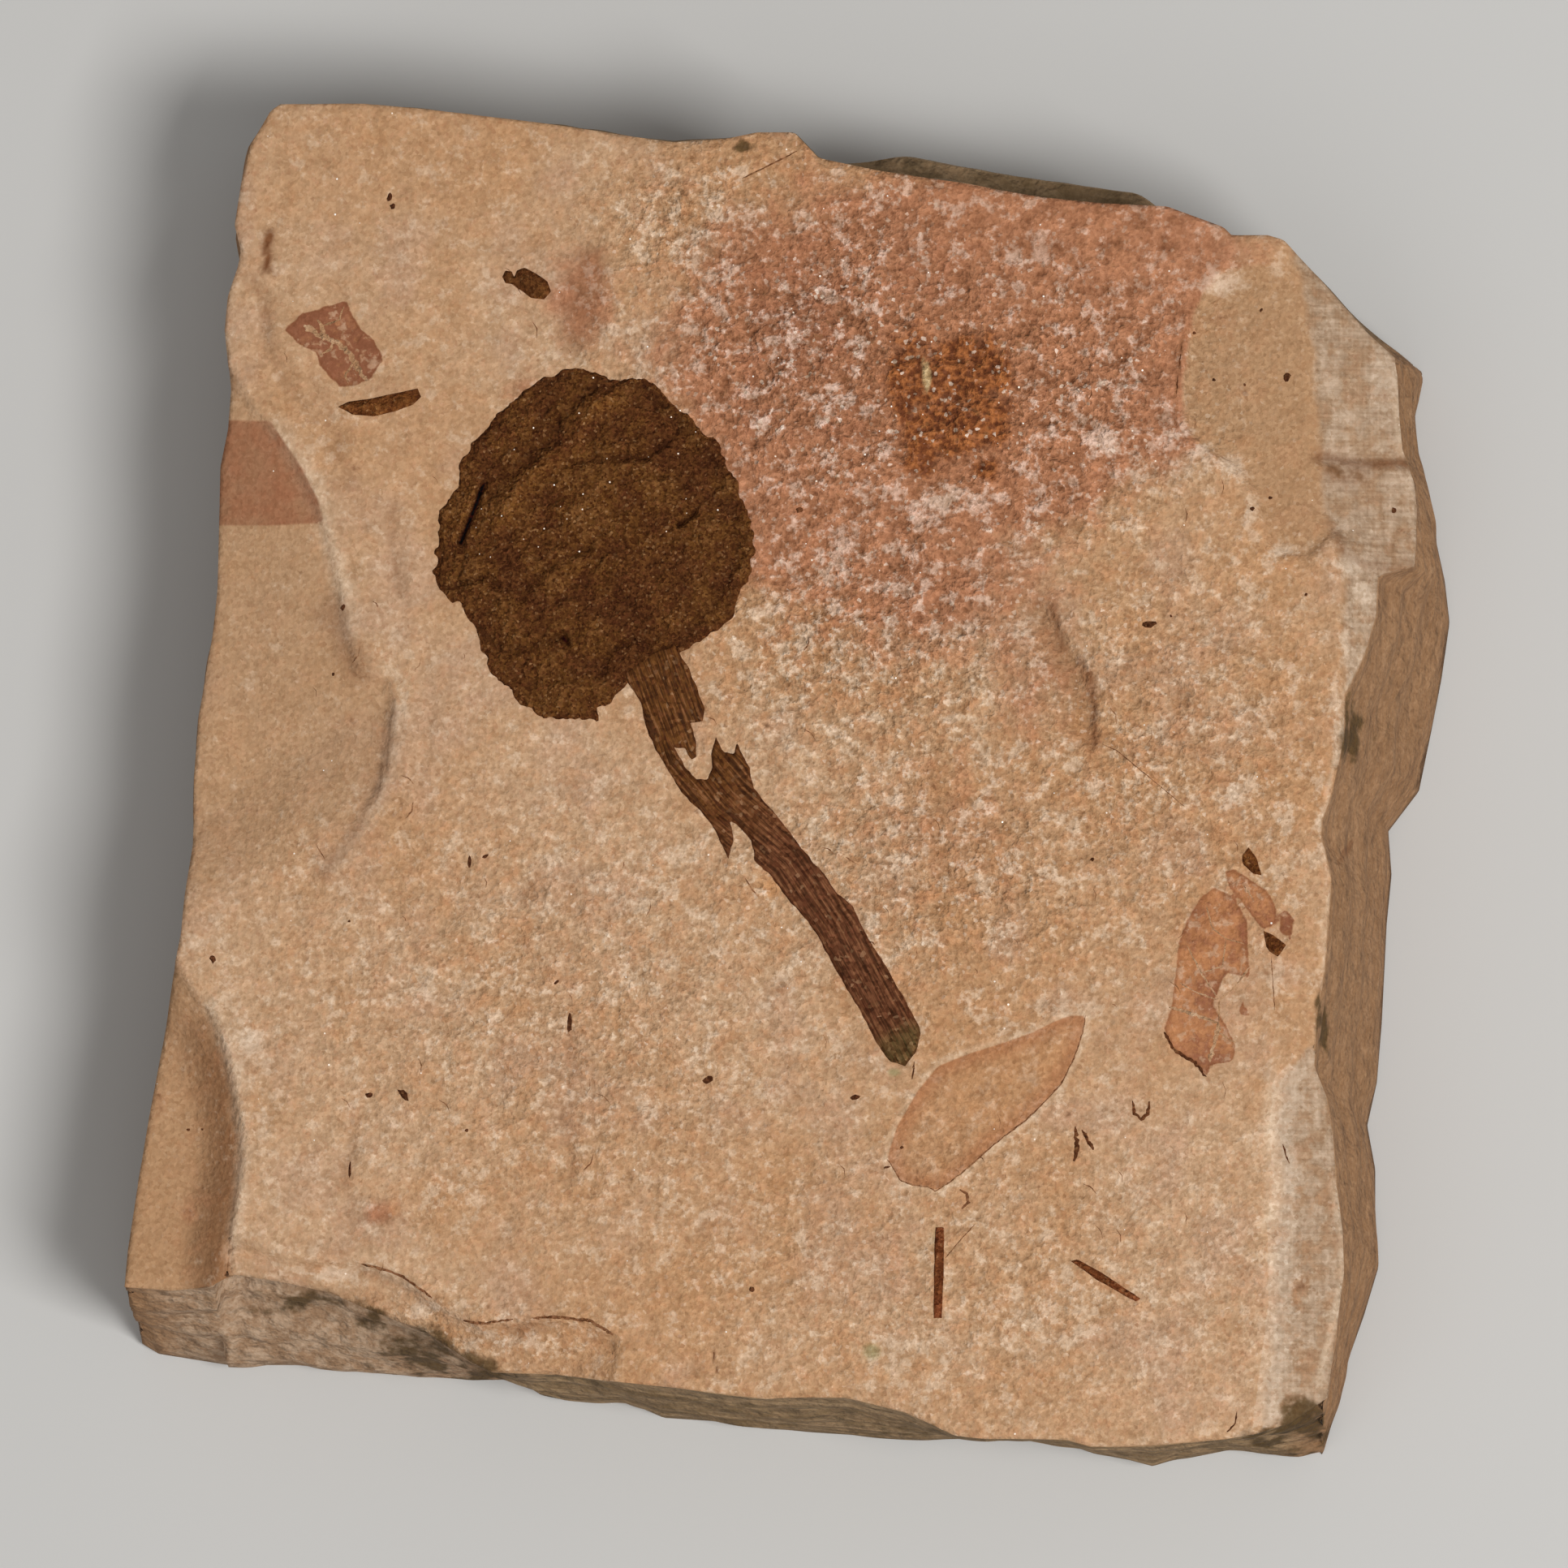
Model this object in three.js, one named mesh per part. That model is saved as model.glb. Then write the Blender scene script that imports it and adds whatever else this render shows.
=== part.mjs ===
import * as THREE from 'three';
import { mergeVertices } from 'three/addons/utils/BufferGeometryUtils.js';

// A fossil conifer cone on its stalk, pressed flat on the split face of a shale slab, with a few
// scraps of the same tree beside it. Millimetres, +Z up, the split face on top.
// Outlines are [x, y] on the split face, from the point where its two middle lines cross.

// Driving dimensions
const SLAB_HEIGHT = 16; // foot to split face
const SLAB_MIDDLE = [-0.36, 0.44]; // middle of the slab's box, seen on the outlines' own axes
const FACE_STEPS = 48; // mesh steps along each edge of the face
const CONE_EDGE = 0.3; // height of the cone's rim over the split face
const CONE_CROWN = 0.65; // height of its middle
const CONE_RINGS = 9;
const CONE_RISE = 2.5; // times quicker than the way from rim to middle
const RIM_CALM = 6; // lumps and fold die out this many times nearer to the rim
const CONE_LUMP = 0.1; // height of a pressed scale
const FOLD = { height: 0.22, width: 0.7 }; // the raised fold across the cone
const STALK_THICKNESS = 0.4;
const LEAF = { edge: 0.15, crown: 0.4, rings: 3 };
const SEED = { edge: 0.2, crown: 0.5, rings: 4 };
const NEEDLE_THICKNESS = 0.3;

// Edges of the split face, west to east and south to north; each pair shares its corner points
const SOUTH_EDGE = [
  [-40.8, -30.8], [-37.9, -31.0], [-35.3, -30.8], [-33.9, -30.1], [-30.8, -30.6], [-28.0, -31.2],
  [-26.0, -32.1], [-23.7, -33.0], [-22.3, -33.4], [-21.1, -34.3], [-19.4, -35.4], [-18.0, -36.1],
  [-14.0, -36.2], [-10.9, -36.7], [-4.1, -37.4], [-1.0, -37.8], [3.8, -37.7], [7.5, -38.6],
  [10.6, -40.1], [12.4, -40.3], [17.5, -40.3], [18.9, -40.7], [21.2, -40.7], [24.2, -40.5],
  [27.2, -40.3], [29.0, -40.0], [31.1, -39.3], [32.3, -38.5], [33.4, -37.7],
];
const EAST_EDGE = [
  [33.4, -37.7], [34.0, -33.0], [34.4, -30.0], [34.3, -27.4], [33.9, -24.6], [33.7, -21.5],
  [33.3, -19.2], [32.6, -17.4], [32.7, -14.2], [33.2, -11.6], [33.6, -5.9], [33.0, -3.3],
  [33.0, -2.4], [33.7, -0.4], [34.4, 2.8], [34.4, 5.4], [35.0, 6.7], [35.6, 8.0], [36.3, 10.5],
  [36.4, 12.9], [38.6, 13.6], [38.8, 17.1], [38.6, 18.8], [37.9, 20.8], [37.7, 22.9],
  [37.6, 25.2], [37.4, 26.5],
];
const NORTH_EDGE = [
  [-31.3, 42.2], [-26.1, 42.2], [-22.0, 41.8], [-14.7, 40.9], [-7.0, 39.7], [-3.7, 39.9],
  [-1.8, 40.3], [0.5, 40.3], [2.0, 38.7], [5.7, 37.9], [11.4, 37.0], [15.8, 36.2], [19.6, 35.8],
  [23.5, 35.6], [27.0, 34.3], [27.5, 33.8], [29.7, 33.8], [30.7, 33.5], [32.6, 31.5],
  [35.8, 27.9], [37.4, 26.5],
];
const WEST_EDGE = [
  [-40.8, -30.8], [-40.6, -28.5], [-40.0, -24.5], [-39.3, -20.2], [-38.6, -16.4], [-37.8, -12.1],
  [-37.2, -9.1], [-37.0, -6.7], [-36.6, -3.6], [-36.6, 0.7], [-36.3, 4.6], [-35.5, 9.4],
  [-35.2, 12.2], [-35.1, 16.3], [-35.0, 19.8], [-34.5, 22.1], [-34.3, 24.6], [-34.7, 28.2],
  [-34.5, 30.3], [-33.9, 32.1], [-33.7, 33.1], [-34.1, 34.7], [-33.7, 37.3], [-33.1, 39.7],
  [-31.9, 41.8], [-31.3, 42.2],
];

// Edges of the foot, in the same order
const SOUTH_FOOT = [
  [-41.0, -33.8], [-40.0, -34.4], [-35.6, -35.1], [-31.4, -35.1], [-28.3, -35.4],
  [-23.7, -35.7], [-17.7, -36.0], [-16.1, -37.0], [-14.6, -37.3], [-10.8, -37.4], [-8.5, -38.4],
  [-5.5, -38.6], [-2.4, -39.0], [0.6, -39.3], [6.7, -39.7], [12.8, -39.6], [17.4, -40.1],
  [21.9, -41.4], [23.4, -40.9], [26.5, -40.3], [31.0, -40.8], [32.6, -40.5],
];
const EAST_FOOT = [
  [32.6, -40.5], [33.3, -38.0], [34.1, -35.0], [35.2, -31.9], [36.1, -28.9], [35.9, -25.5],
  [35.9, -22.8], [35.4, -20.1], [36.0, -17.4], [36.3, -13.7], [36.6, -7.6], [36.9, -4.5],
  [36.7, -1.8], [38.6, 0.7], [39.4, 4.6], [40.0, 7.7], [40.5, 11.2], [40.2, 13.8], [39.5, 17.0],
  [38.4, 21.7], [38.3, 24.0], [38.8, 26.3], [38.6, 26.9],
];
const NORTH_FOOT = [
  [-31.6, 41.3], [-24.5, 41.3], [-14.0, 40.2], [-6.0, 38.8], [0.0, 39.1], [5.0, 37.4],
  [14.0, 35.8], [23.0, 34.4], [29.0, 33.0], [34.0, 30.0], [38.6, 26.9],
];
const WEST_FOOT = [
  [-41.0, -33.8], [-40.9, -27.0], [-39.3, -18.0], [-37.7, -9.0], [-37.0, 0.0], [-36.0, 9.0],
  [-35.4, 18.0], [-34.8, 25.0], [-34.9, 31.0], [-34.0, 36.5], [-33.0, 40.0], [-31.6, 41.3],
];

// The sides break along the beds: [share of the height, how far the bed stands out]
const BEDS = [
  [0.93, 0], [0.84, -0.35], [0.72, 0.1], [0.58, -0.35], [0.44, 0.1], [0.3, -0.35],
  [0.14, 0], [0, -0.2],
];
// A bed that stands out behind the slab, rising slowly from the west and dying out fast in the east
const LEDGE = { from: 1.5, to: 24.6, rise: 6.5, fall: 3.5, reach: 1.9, share: [0.42, 0.73] };
const SIDE_WAVE = { height: 0.25, length: 1.3, lean: 9 }; // slow in and out along each bed
// The face juts out over the south-west foot, which runs out below it over a share of the height
const OVERHANG = { from: -35, to: -17, share: [0.7, 0.95], depth: 0.5, run: 0.45 };

// Hollows and chips in the split face
const WEST_SCOOP = {
  scarp: [
    [-33.6, 25.0], [-32.7, 23.5], [-31.4, 22.0], [-29.9, 19.8], [-28.8, 17.7], [-28.2, 15.9],
    [-27.5, 13.3], [-26.8, 9.6], [-26.2, 7.2], [-24.2, 6.8], [-23.9, 4.6], [-24.3, 1.8],
    [-24.7, -0.2], [-25.8, -2.1], [-26.4, -3.4], [-27.8, -5.1],
  ],
  beyond: [[-32.0, -7.6], [-38.5, -8.6], [-42, 10], [-40, 27], [-35.5, 27.0]],
  step: 0.45, stepWidth: 0.6, depth: 1.2, width: 9, fade: 8,
};
const CORNER_SCOOP = {
  scarp: [
    [-37.4, -11.0], [-36.5, -12.5], [-35.3, -13.6], [-34.3, -16.2], [-33.7, -18.6],
    [-33.2, -21.7], [-33.2, -23.5], [-33.6, -26.1], [-34.0, -28.9], [-34.1, -31.5],
  ],
  beyond: [[-34.1, -36], [-45, -36], [-45, -11]],
  step: 0.5, stepWidth: 0.4, depth: 1.6, width: 3.4, fade: 0,
};
const CHIP = {
  outline: [
    [30.7, 32.1], [28.8, 32.1], [26.7, 31.8], [25.6, 30.5], [24.8, 28.6], [24.2, 24.5],
    [24.2, 22.3], [25.1, 21.0], [26.4, 20.0], [28.0, 18.9], [29.1, 16.5], [29.4, 14.6],
    [30.4, 13.8], [32.3, 13.5], [33.8, 15.0], [36.2, 13.1], [40, 12.0], [44, 20], [40, 33],
    [33, 38],
  ],
  depth: 0.55, width: 0.7,
};
const FACETS = {
  brink: [[30.5, 33.5], [31.3, 30.1], [32.0, 26.3], [32.3, 20.7], [32.5, 16.8], [33.3, 14.9]],
  slope: 0.42, grooveAt: 20.3, grooveDepth: 0.5, grooveWidth: 0.8,
};
const EAST_BEVEL = {
  brink: [[33.2, 15.8], [34.0, 12.5], [33.9, 9.0], [34.0, 5.0], [33.2, 1.0]],
  slope: 0.7,
};
const CORNER_BEVEL = {
  brink: [
    [31.5, -16.4], [30.0, -18.2], [29.8, -21.7], [30.0, -24.6], [29.7, -27.0], [29.7, -32.0],
    [29.3, -35.4], [28.7, -39.6],
  ],
  slope: 0.32,
};
const BENCH = {
  brink: [
    [-34.4, -27.6], [-30.5, -29.1], [-26.0, -29.3], [-23.4, -30.3], [-20.9, -32.2],
    [-18.5, -33.2], [-14.0, -32.8], [-11.9, -33.0], [-10.3, -33.9], [-10.0, -35.2], [-10.6, -37.2],
  ],
  depth: 0.5, width: 0.5, slope: 0.22,
};
const ARC_STEP = { line: [[16.2, 11.3], [16.7, 10.3], [18.4, 7.4], [19.3, 4.6], [19.4, 2.3]],
  depth: 0.35, width: 0.5, run: 3 };

// The cone's crenulate rim, stalk side last
const CONE_RIM = [
  [-12.6, 25.7], [-11.4, 25.4], [-10.3, 24.9], [-8.8, 25.1], [-8.1, 24.6], [-7.4, 24.0],
  [-6.6, 23.2], [-6.0, 22.9], [-5.5, 22.4], [-4.9, 21.6], [-4.2, 21.2], [-3.7, 20.3],
  [-3.4, 19.4], [-2.8, 18.6], [-2.7, 17.5], [-2.3, 16.9], [-2.2, 16.2], [-1.8, 15.2],
  [-1.9, 14.1], [-2.1, 13.2], [-2.5, 12.3], [-2.9, 11.5], [-3.2, 10.4], [-3.6, 10.0],
  [-4.3, 9.5], [-5.2, 8.8], [-6.2, 8.1], [-6.9, 7.8], [-8.0, 7.2], [-9.0, 6.5], [-9.8, 6.0],
  [-10.6, 5.2], [-11.5, 4.7], [-11.5, 3.9], [-12.6, 4.1], [-13.4, 3.9], [-14.7, 4.1],
  [-15.6, 4.6], [-16.4, 5.1], [-16.7, 5.9], [-17.5, 6.5], [-18.2, 7.3], [-18.8, 8.9],
  [-19.3, 10.0], [-19.7, 10.6], [-20.1, 11.3], [-20.5, 11.2], [-21.3, 12.1], [-21.6, 13.0],
  [-21.5, 14.3], [-21.3, 15.8], [-21.4, 17.0], [-20.8, 17.8], [-20.1, 18.3], [-20.1, 19.6],
  [-19.7, 20.3], [-19.1, 21.2], [-18.2, 22.3], [-17.5, 23.1], [-16.5, 24.0], [-15.7, 24.7],
  [-14.8, 25.2], [-13.5, 25.6],
];
const CONE_FOLD_LINE = [[-14.4, 22.7], [-15.5, 20.6], [-15.8, 18.8], [-17.5, 17.5]];

// The stalk, split into strands above and joined below
const STALK_OUTLINE = [
  [-9.3, 5.9], [-8.8, 5.0], [-8.5, 3.6], [-7.9, 2.1], [-7.0, 0.6], [-6.3, -0.5], [-5.2, -1.6],
  [-4.4, -2.5], [-3.9, -3.6], [-3.4, -4.6], [-3.1, -3.5], [-3.3, -2.3], [-2.9, -2.5],
  [-2.0, -3.5], [-1.8, -4.7], [-0.9, -5.5], [0.1, -6.9], [1.2, -8.1], [2.0, -9.2], [2.9, -10.8],
  [3.8, -12.5], [4.9, -14.3], [5.7, -15.9], [6.6, -17.1], [7.5, -17.4], [8.1, -16.6],
  [8.5, -15.5], [8.0, -14.2], [6.8, -12.1], [5.7, -10.3], [4.8, -8.7], [4.3, -7.5], [3.3, -6.8],
  [2.4, -5.5], [1.3, -4.2], [0.2, -2.7], [-0.9, -1.4], [-1.9, -0.3], [-2.1, 1.0], [-2.9, 2.5],
  [-3.1, 1.9], [-3.7, 1.9], [-4.2, 2.9], [-4.5, 1.9], [-4.4, 1.0], [-4.7, 0.3], [-5.4, 0.3],
  [-6.1, 1.1], [-6.8, 2.3], [-6.1, 2.2], [-5.7, 1.5], [-5.4, 1.7], [-5.5, 2.9], [-5.8, 3.8],
  [-5.0, 3.9], [-4.9, 4.7], [-5.4, 6.0], [-5.9, 7.1], [-6.5, 7.5], [-7.6, 6.9],
];

const LEAF_OUTLINE = [
  [-27.6, 23.4], [-27.0, 23.7], [-25.6, 23.9], [-24.1, 24.2], [-22.7, 24.5], [-22.5, 24.0],
  [-23.0, 23.5], [-24.1, 23.1], [-25.4, 22.8], [-26.7, 22.9],
];
const SEED_OUTLINE = [
  [-17.5, 31.4], [-17.3, 31.8], [-16.9, 31.75], [-16.75, 31.4], [-16.6, 31.8], [-16.1, 31.95],
  [-15.4, 31.6], [-14.7, 31.1], [-14.5, 30.5], [-14.9, 30.0], [-15.7, 30.1], [-16.4, 30.6],
  [-16.8, 30.95], [-17.3, 31.0],
];
const NEEDLE_A_OUTLINE = [
  [9.4, -27.3], [9.9, -27.3], [9.9, -29.6], [9.8, -32.9], [9.3, -32.9], [9.3, -30.0],
];
const NEEDLE_B_OUTLINE = [
  [17.7, -29.4], [18.1, -29.3], [19.6, -30.1], [22.0, -31.7], [21.7, -31.9], [19.4, -30.6],
];

// Plane geometry

const mix = (a, b, t) => a + (b - a) * t;
const clamp = (t) => Math.min(1, Math.max(0, t));
const smooth = (t) => clamp(t) ** 2 * (3 - 2 * clamp(t));

// The point a share t of the way along a run of straight pieces
function along(line, t) {
  const lengths = line.slice(1).map((p, i) => Math.hypot(p[0] - line[i][0], p[1] - line[i][1]));
  let left = t * lengths.reduce((sum, length) => sum + length, 0);
  for (let i = 0; i < lengths.length; i++) {
    if (left <= lengths[i] || i === lengths.length - 1) {
      const part = clamp(left / lengths[i]);
      return [mix(line[i][0], line[i + 1][0], part), mix(line[i][1], line[i + 1][1], part)];
    }
    left -= lengths[i];
  }
  return line[0];
}

function distanceTo(line, x, y) {
  let nearest = Infinity;
  for (let i = 1; i < line.length; i++) {
    const [ax, ay] = line[i - 1];
    const [dx, dy] = [line[i][0] - ax, line[i][1] - ay];
    const t = clamp(((x - ax) * dx + (y - ay) * dy) / (dx * dx + dy * dy));
    nearest = Math.min(nearest, Math.hypot(x - ax - dx * t, y - ay - dy * t));
  }
  return nearest;
}

function inside(outline, x, y) {
  let within = false;
  outline.forEach(([ax, ay], i) => {
    const [bx, by] = outline[(i + 1) % outline.length];
    if (ay > y !== by > y && x < ax + ((bx - ax) * (y - ay)) / (by - ay)) within = !within;
  });
  return within;
}

// Relief of the split face

// How far past a brink a point lies, where the ground beyond it runs off towards far
function past(brink, x, y, far) {
  const beyond = [brink.at(-1), brink[0]].map(([bx, by]) => [bx + far[0], by + far[1]]);
  return inside([...brink, ...beyond], x, y) ? distanceTo(brink, x, y) : 0;
}

function scoopDrop(scoop, x, y) {
  if (!inside([...scoop.scarp, ...scoop.beyond], x, y)) return 0;
  const out = distanceTo(scoop.scarp, x, y);
  const drop = scoop.step * smooth(out / scoop.stepWidth) + scoop.depth * smooth(out / scoop.width);
  const openEdge = [scoop.scarp.at(-1), ...scoop.beyond.slice(0, 2)];
  return scoop.fade ? drop * smooth(distanceTo(openEdge, x, y) / scoop.fade) : drop;
}

const FAR_EAST = [15, 0];
const FAR_SOUTH = [0, -15];
const FAR_WEST = [-15, 0];

function chipDrop(x, y) {
  if (!inside(CHIP.outline, x, y)) return 0;
  const lip = CHIP.depth * smooth(distanceTo([...CHIP.outline, CHIP.outline[0]], x, y) / CHIP.width);
  const slope = FACETS.slope * past(FACETS.brink, x, y, FAR_EAST);
  const groove = FACETS.grooveDepth * (1 - clamp(Math.abs(y - FACETS.grooveAt) / FACETS.grooveWidth));
  return lip + slope + (slope > 0 ? groove : 0);
}

function benchDrop(x, y) {
  const out = past(BENCH.brink, x, y, FAR_SOUTH);
  return BENCH.depth * smooth(out / BENCH.width) + BENCH.slope * out;
}

function arcDrop(x, y) {
  const west = past(ARC_STEP.line, x, y, FAR_WEST);
  return ARC_STEP.depth * smooth(west / ARC_STEP.width) * (1 - smooth(west / ARC_STEP.run));
}

function faceHeight(x, y) {
  const bevels = EAST_BEVEL.slope * past(EAST_BEVEL.brink, x, y, FAR_EAST)
    + CORNER_BEVEL.slope * past(CORNER_BEVEL.brink, x, y, FAR_EAST);
  return SLAB_HEIGHT - scoopDrop(WEST_SCOOP, x, y) - scoopDrop(CORNER_SCOOP, x, y)
    - Math.max(chipDrop(x, y), bevels) - benchDrop(x, y) - arcDrop(x, y);
}

// The slab: a patch stretched between the four edges of the face, sides down to the foot

function facePoint(u, v) {
  const [south, north] = [along(SOUTH_EDGE, u), along(NORTH_EDGE, u)];
  const [west, east] = [along(WEST_EDGE, v), along(EAST_EDGE, v)];
  return [0, 1].map((k) => mix(south[k], north[k], v) + mix(west[k], east[k], u)
    - mix(mix(SOUTH_EDGE[0][k], EAST_EDGE[0][k], u), mix(NORTH_EDGE[0][k], EAST_EDGE.at(-1)[k], u), v));
}

// One bed's rim, a share of the height up, on the side that faces out
function sidePoint(top, foot, rim, out, share, proud) {
  const down = 1 - share;
  let reach = proud;
  if (out[1] > 0 && share > LEDGE.share[0] && share < LEDGE.share[1]) {
    reach += LEDGE.reach * smooth((top[0] - LEDGE.from) / LEDGE.rise)
      * smooth((LEDGE.to - top[0]) / LEDGE.fall);
  }
  let toFoot = down;
  if (out[1] < 0 && top[0] > OVERHANG.from && top[0] < OVERHANG.to) {
    toFoot = clamp((OVERHANG.share[0] - share) / OVERHANG.run);
    if (share > OVERHANG.share[0] && share < OVERHANG.share[1]) reach -= OVERHANG.depth;
  }
  const phase = (top[0] + top[1]) / SIDE_WAVE.length + share * SIDE_WAVE.lean;
  const wave = share > 0 ? SIDE_WAVE.height * Math.sin(phase) * down : 0;
  return [
    mix(top[0], foot[0], toFoot) + out[0] * (reach + wave),
    mix(top[1], foot[1], toFoot) + out[1] * (reach + wave),
    rim * share,
  ];
}

function slabGeometry() {
  const n = FACE_STEPS;
  const positions = [];
  const triangles = [];
  const quad = (a, b, c, d) => triangles.push(a, b, c, a, c, d);
  for (let j = 0; j <= n; j++) {
    for (let i = 0; i <= n; i++) {
      const [x, y] = facePoint(i / n, j / n);
      positions.push(x, y, faceHeight(x, y));
    }
  }
  const face = (i, j) => j * (n + 1) + i;
  for (let j = 0; j < n; j++) {
    for (let i = 0; i < n; i++) quad(face(i, j), face(i + 1, j), face(i + 1, j + 1), face(i, j + 1));
  }
  // Round the rim, anticlockwise from the south-west corner
  const rim = [];
  for (let i = 0; i < n; i++) rim.push({ at: face(i, 0), foot: along(SOUTH_FOOT, i / n), out: [0, -1] });
  for (let j = 0; j < n; j++) rim.push({ at: face(n, j), foot: along(EAST_FOOT, j / n), out: [1, 0] });
  for (let i = n; i > 0; i--) rim.push({ at: face(i, n), foot: along(NORTH_FOOT, i / n), out: [0, 1] });
  for (let j = n; j > 0; j--) rim.push({ at: face(0, j), foot: along(WEST_FOOT, j / n), out: [-1, 0] });
  let above = rim.map((point) => point.at);
  for (const [share, proud] of BEDS) {
    const below = rim.map(({ at, foot, out }) => {
      const top = [positions[3 * at], positions[3 * at + 1]];
      positions.push(...sidePoint(top, foot, positions[3 * at + 2], out, share, proud));
      return positions.length / 3 - 1;
    });
    rim.forEach((_, k) => {
      const next = (k + 1) % rim.length;
      quad(above[k], below[k], below[next], above[next]);
    });
    above = below;
  }
  const middle = positions.length / 3;
  positions.push(0, 0, 0);
  above.forEach((_, k) => triangles.push(middle, above[(k + 1) % above.length], above[k]));
  return solid(positions, triangles);
}

function solid(positions, triangles) {
  const geometry = new THREE.BufferGeometry();
  geometry.setAttribute('position', new THREE.Float32BufferAttribute(positions, 3));
  geometry.setIndex(triangles);
  geometry.translate(-SLAB_MIDDLE[0], -SLAB_MIDDLE[1], 0);
  return geometry;
}

// Pressed plant pieces, which lie on the split face

// A low crowned body over a star-shaped outline: flat under, a thin rim, then up to its middle
function crownedGeometry(outline, rings, edge, heightAt) {
  const points = THREE.ShapeUtils.isClockWise(outline.map(([x, y]) => new THREE.Vector2(x, y)))
    ? [...outline].reverse() : outline;
  const count = points.length;
  const middle = [0, 1].map((k) => points.reduce((sum, p) => sum + p[k], 0) / count);
  const positions = [];
  const triangles = [];
  points.forEach(([x, y]) => positions.push(x, y, SLAB_HEIGHT));
  for (let ring = 0; ring < rings; ring++) {
    const inward = ring / rings;
    points.forEach(([px, py]) => {
      const [x, y] = [mix(px, middle[0], inward), mix(py, middle[1], inward)];
      positions.push(x, y, SLAB_HEIGHT + (ring === 0 ? edge : heightAt(inward, x, y)));
    });
  }
  const peak = positions.length / 3;
  positions.push(...middle, SLAB_HEIGHT + heightAt(1, ...middle));
  for (let ring = 0; ring < rings; ring++) {
    for (let k = 0; k < count; k++) {
      const [a, b] = [ring * count + k, ring * count + ((k + 1) % count)];
      triangles.push(a, b, b + count, a, b + count, a + count);
    }
  }
  for (let k = 0; k < count; k++) {
    triangles.push(rings * count + k, rings * count + ((k + 1) % count), peak);
  }
  const under = THREE.ShapeUtils.triangulateShape(points.map(([x, y]) => new THREE.Vector2(x, y)), []);
  under.forEach(([a, b, c]) => triangles.push(a, c, b));
  return solid(positions, triangles);
}

// The pressed scales show as low lumps between shallow grooves, and one fold crosses the cone
function coneHeight(inward, x, y) {
  const swell = mix(CONE_EDGE, CONE_CROWN, smooth(inward * CONE_RISE));
  const lumps = CONE_LUMP * Math.sin(x * 1.3 + y * 0.5) * Math.cos(y * 1.1 - x * 0.4);
  const fold = FOLD.height * Math.exp(-((distanceTo(CONE_FOLD_LINE, x, y) / FOLD.width) ** 2));
  return swell + (lumps + fold) * smooth(inward * RIM_CALM);
}

const coneGeometry = () => crownedGeometry(CONE_RIM, CONE_RINGS, CONE_EDGE, coneHeight);
const swelling = ({ edge, crown }) => (inward) => mix(edge, crown, smooth(inward));
const leafGeometry = () => crownedGeometry(LEAF_OUTLINE, LEAF.rings, LEAF.edge, swelling(LEAF));
const seedGeometry = () => crownedGeometry(SEED_OUTLINE, SEED.rings, SEED.edge, swelling(SEED));

function flatGeometry(outline, thickness) {
  const shape = new THREE.Shape(outline.map(([x, y]) => new THREE.Vector2(x, y)));
  const geometry = new THREE.ExtrudeGeometry(shape, { depth: thickness, bevelEnabled: false });
  geometry.deleteAttribute('normal');
  geometry.deleteAttribute('uv');
  geometry.translate(-SLAB_MIDDLE[0], -SLAB_MIDDLE[1], SLAB_HEIGHT);
  return mergeVertices(geometry);
}

const SHALE = { color: 0xc9a27c, roughness: 0.92, metalness: 0 };
const CONE_COAL = { color: 0x4a3224, roughness: 0.8, metalness: 0 };
const STALK_COAL = { color: 0x613a2d, roughness: 0.75, metalness: 0 };
const LEAF_COAL = { color: 0x4c2c22, roughness: 0.6, metalness: 0 };
const SEED_COAL = { color: 0x5b4030, roughness: 0.8, metalness: 0 };

const group = new THREE.Group();

function add(name, geometry, finish) {
  const mesh = new THREE.Mesh(geometry, new THREE.MeshStandardMaterial(finish));
  mesh.name = name;
  group.add(mesh);
}

add('matrix_slab', slabGeometry(), SHALE);
add('cone', coneGeometry(), CONE_COAL);
add('cone_stalk', flatGeometry(STALK_OUTLINE, STALK_THICKNESS), STALK_COAL);
add('needle_leaf', leafGeometry(), LEAF_COAL);
add('seed', seedGeometry(), SEED_COAL);
add('needle_fragment_a', flatGeometry(NEEDLE_A_OUTLINE, NEEDLE_THICKNESS), LEAF_COAL);
add('needle_fragment_b', flatGeometry(NEEDLE_B_OUTLINE, NEEDLE_THICKNESS), LEAF_COAL);

export default group;
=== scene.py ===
import math

import bpy
import numpy as np
from mathutils import Matrix, Vector, geometry


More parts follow.
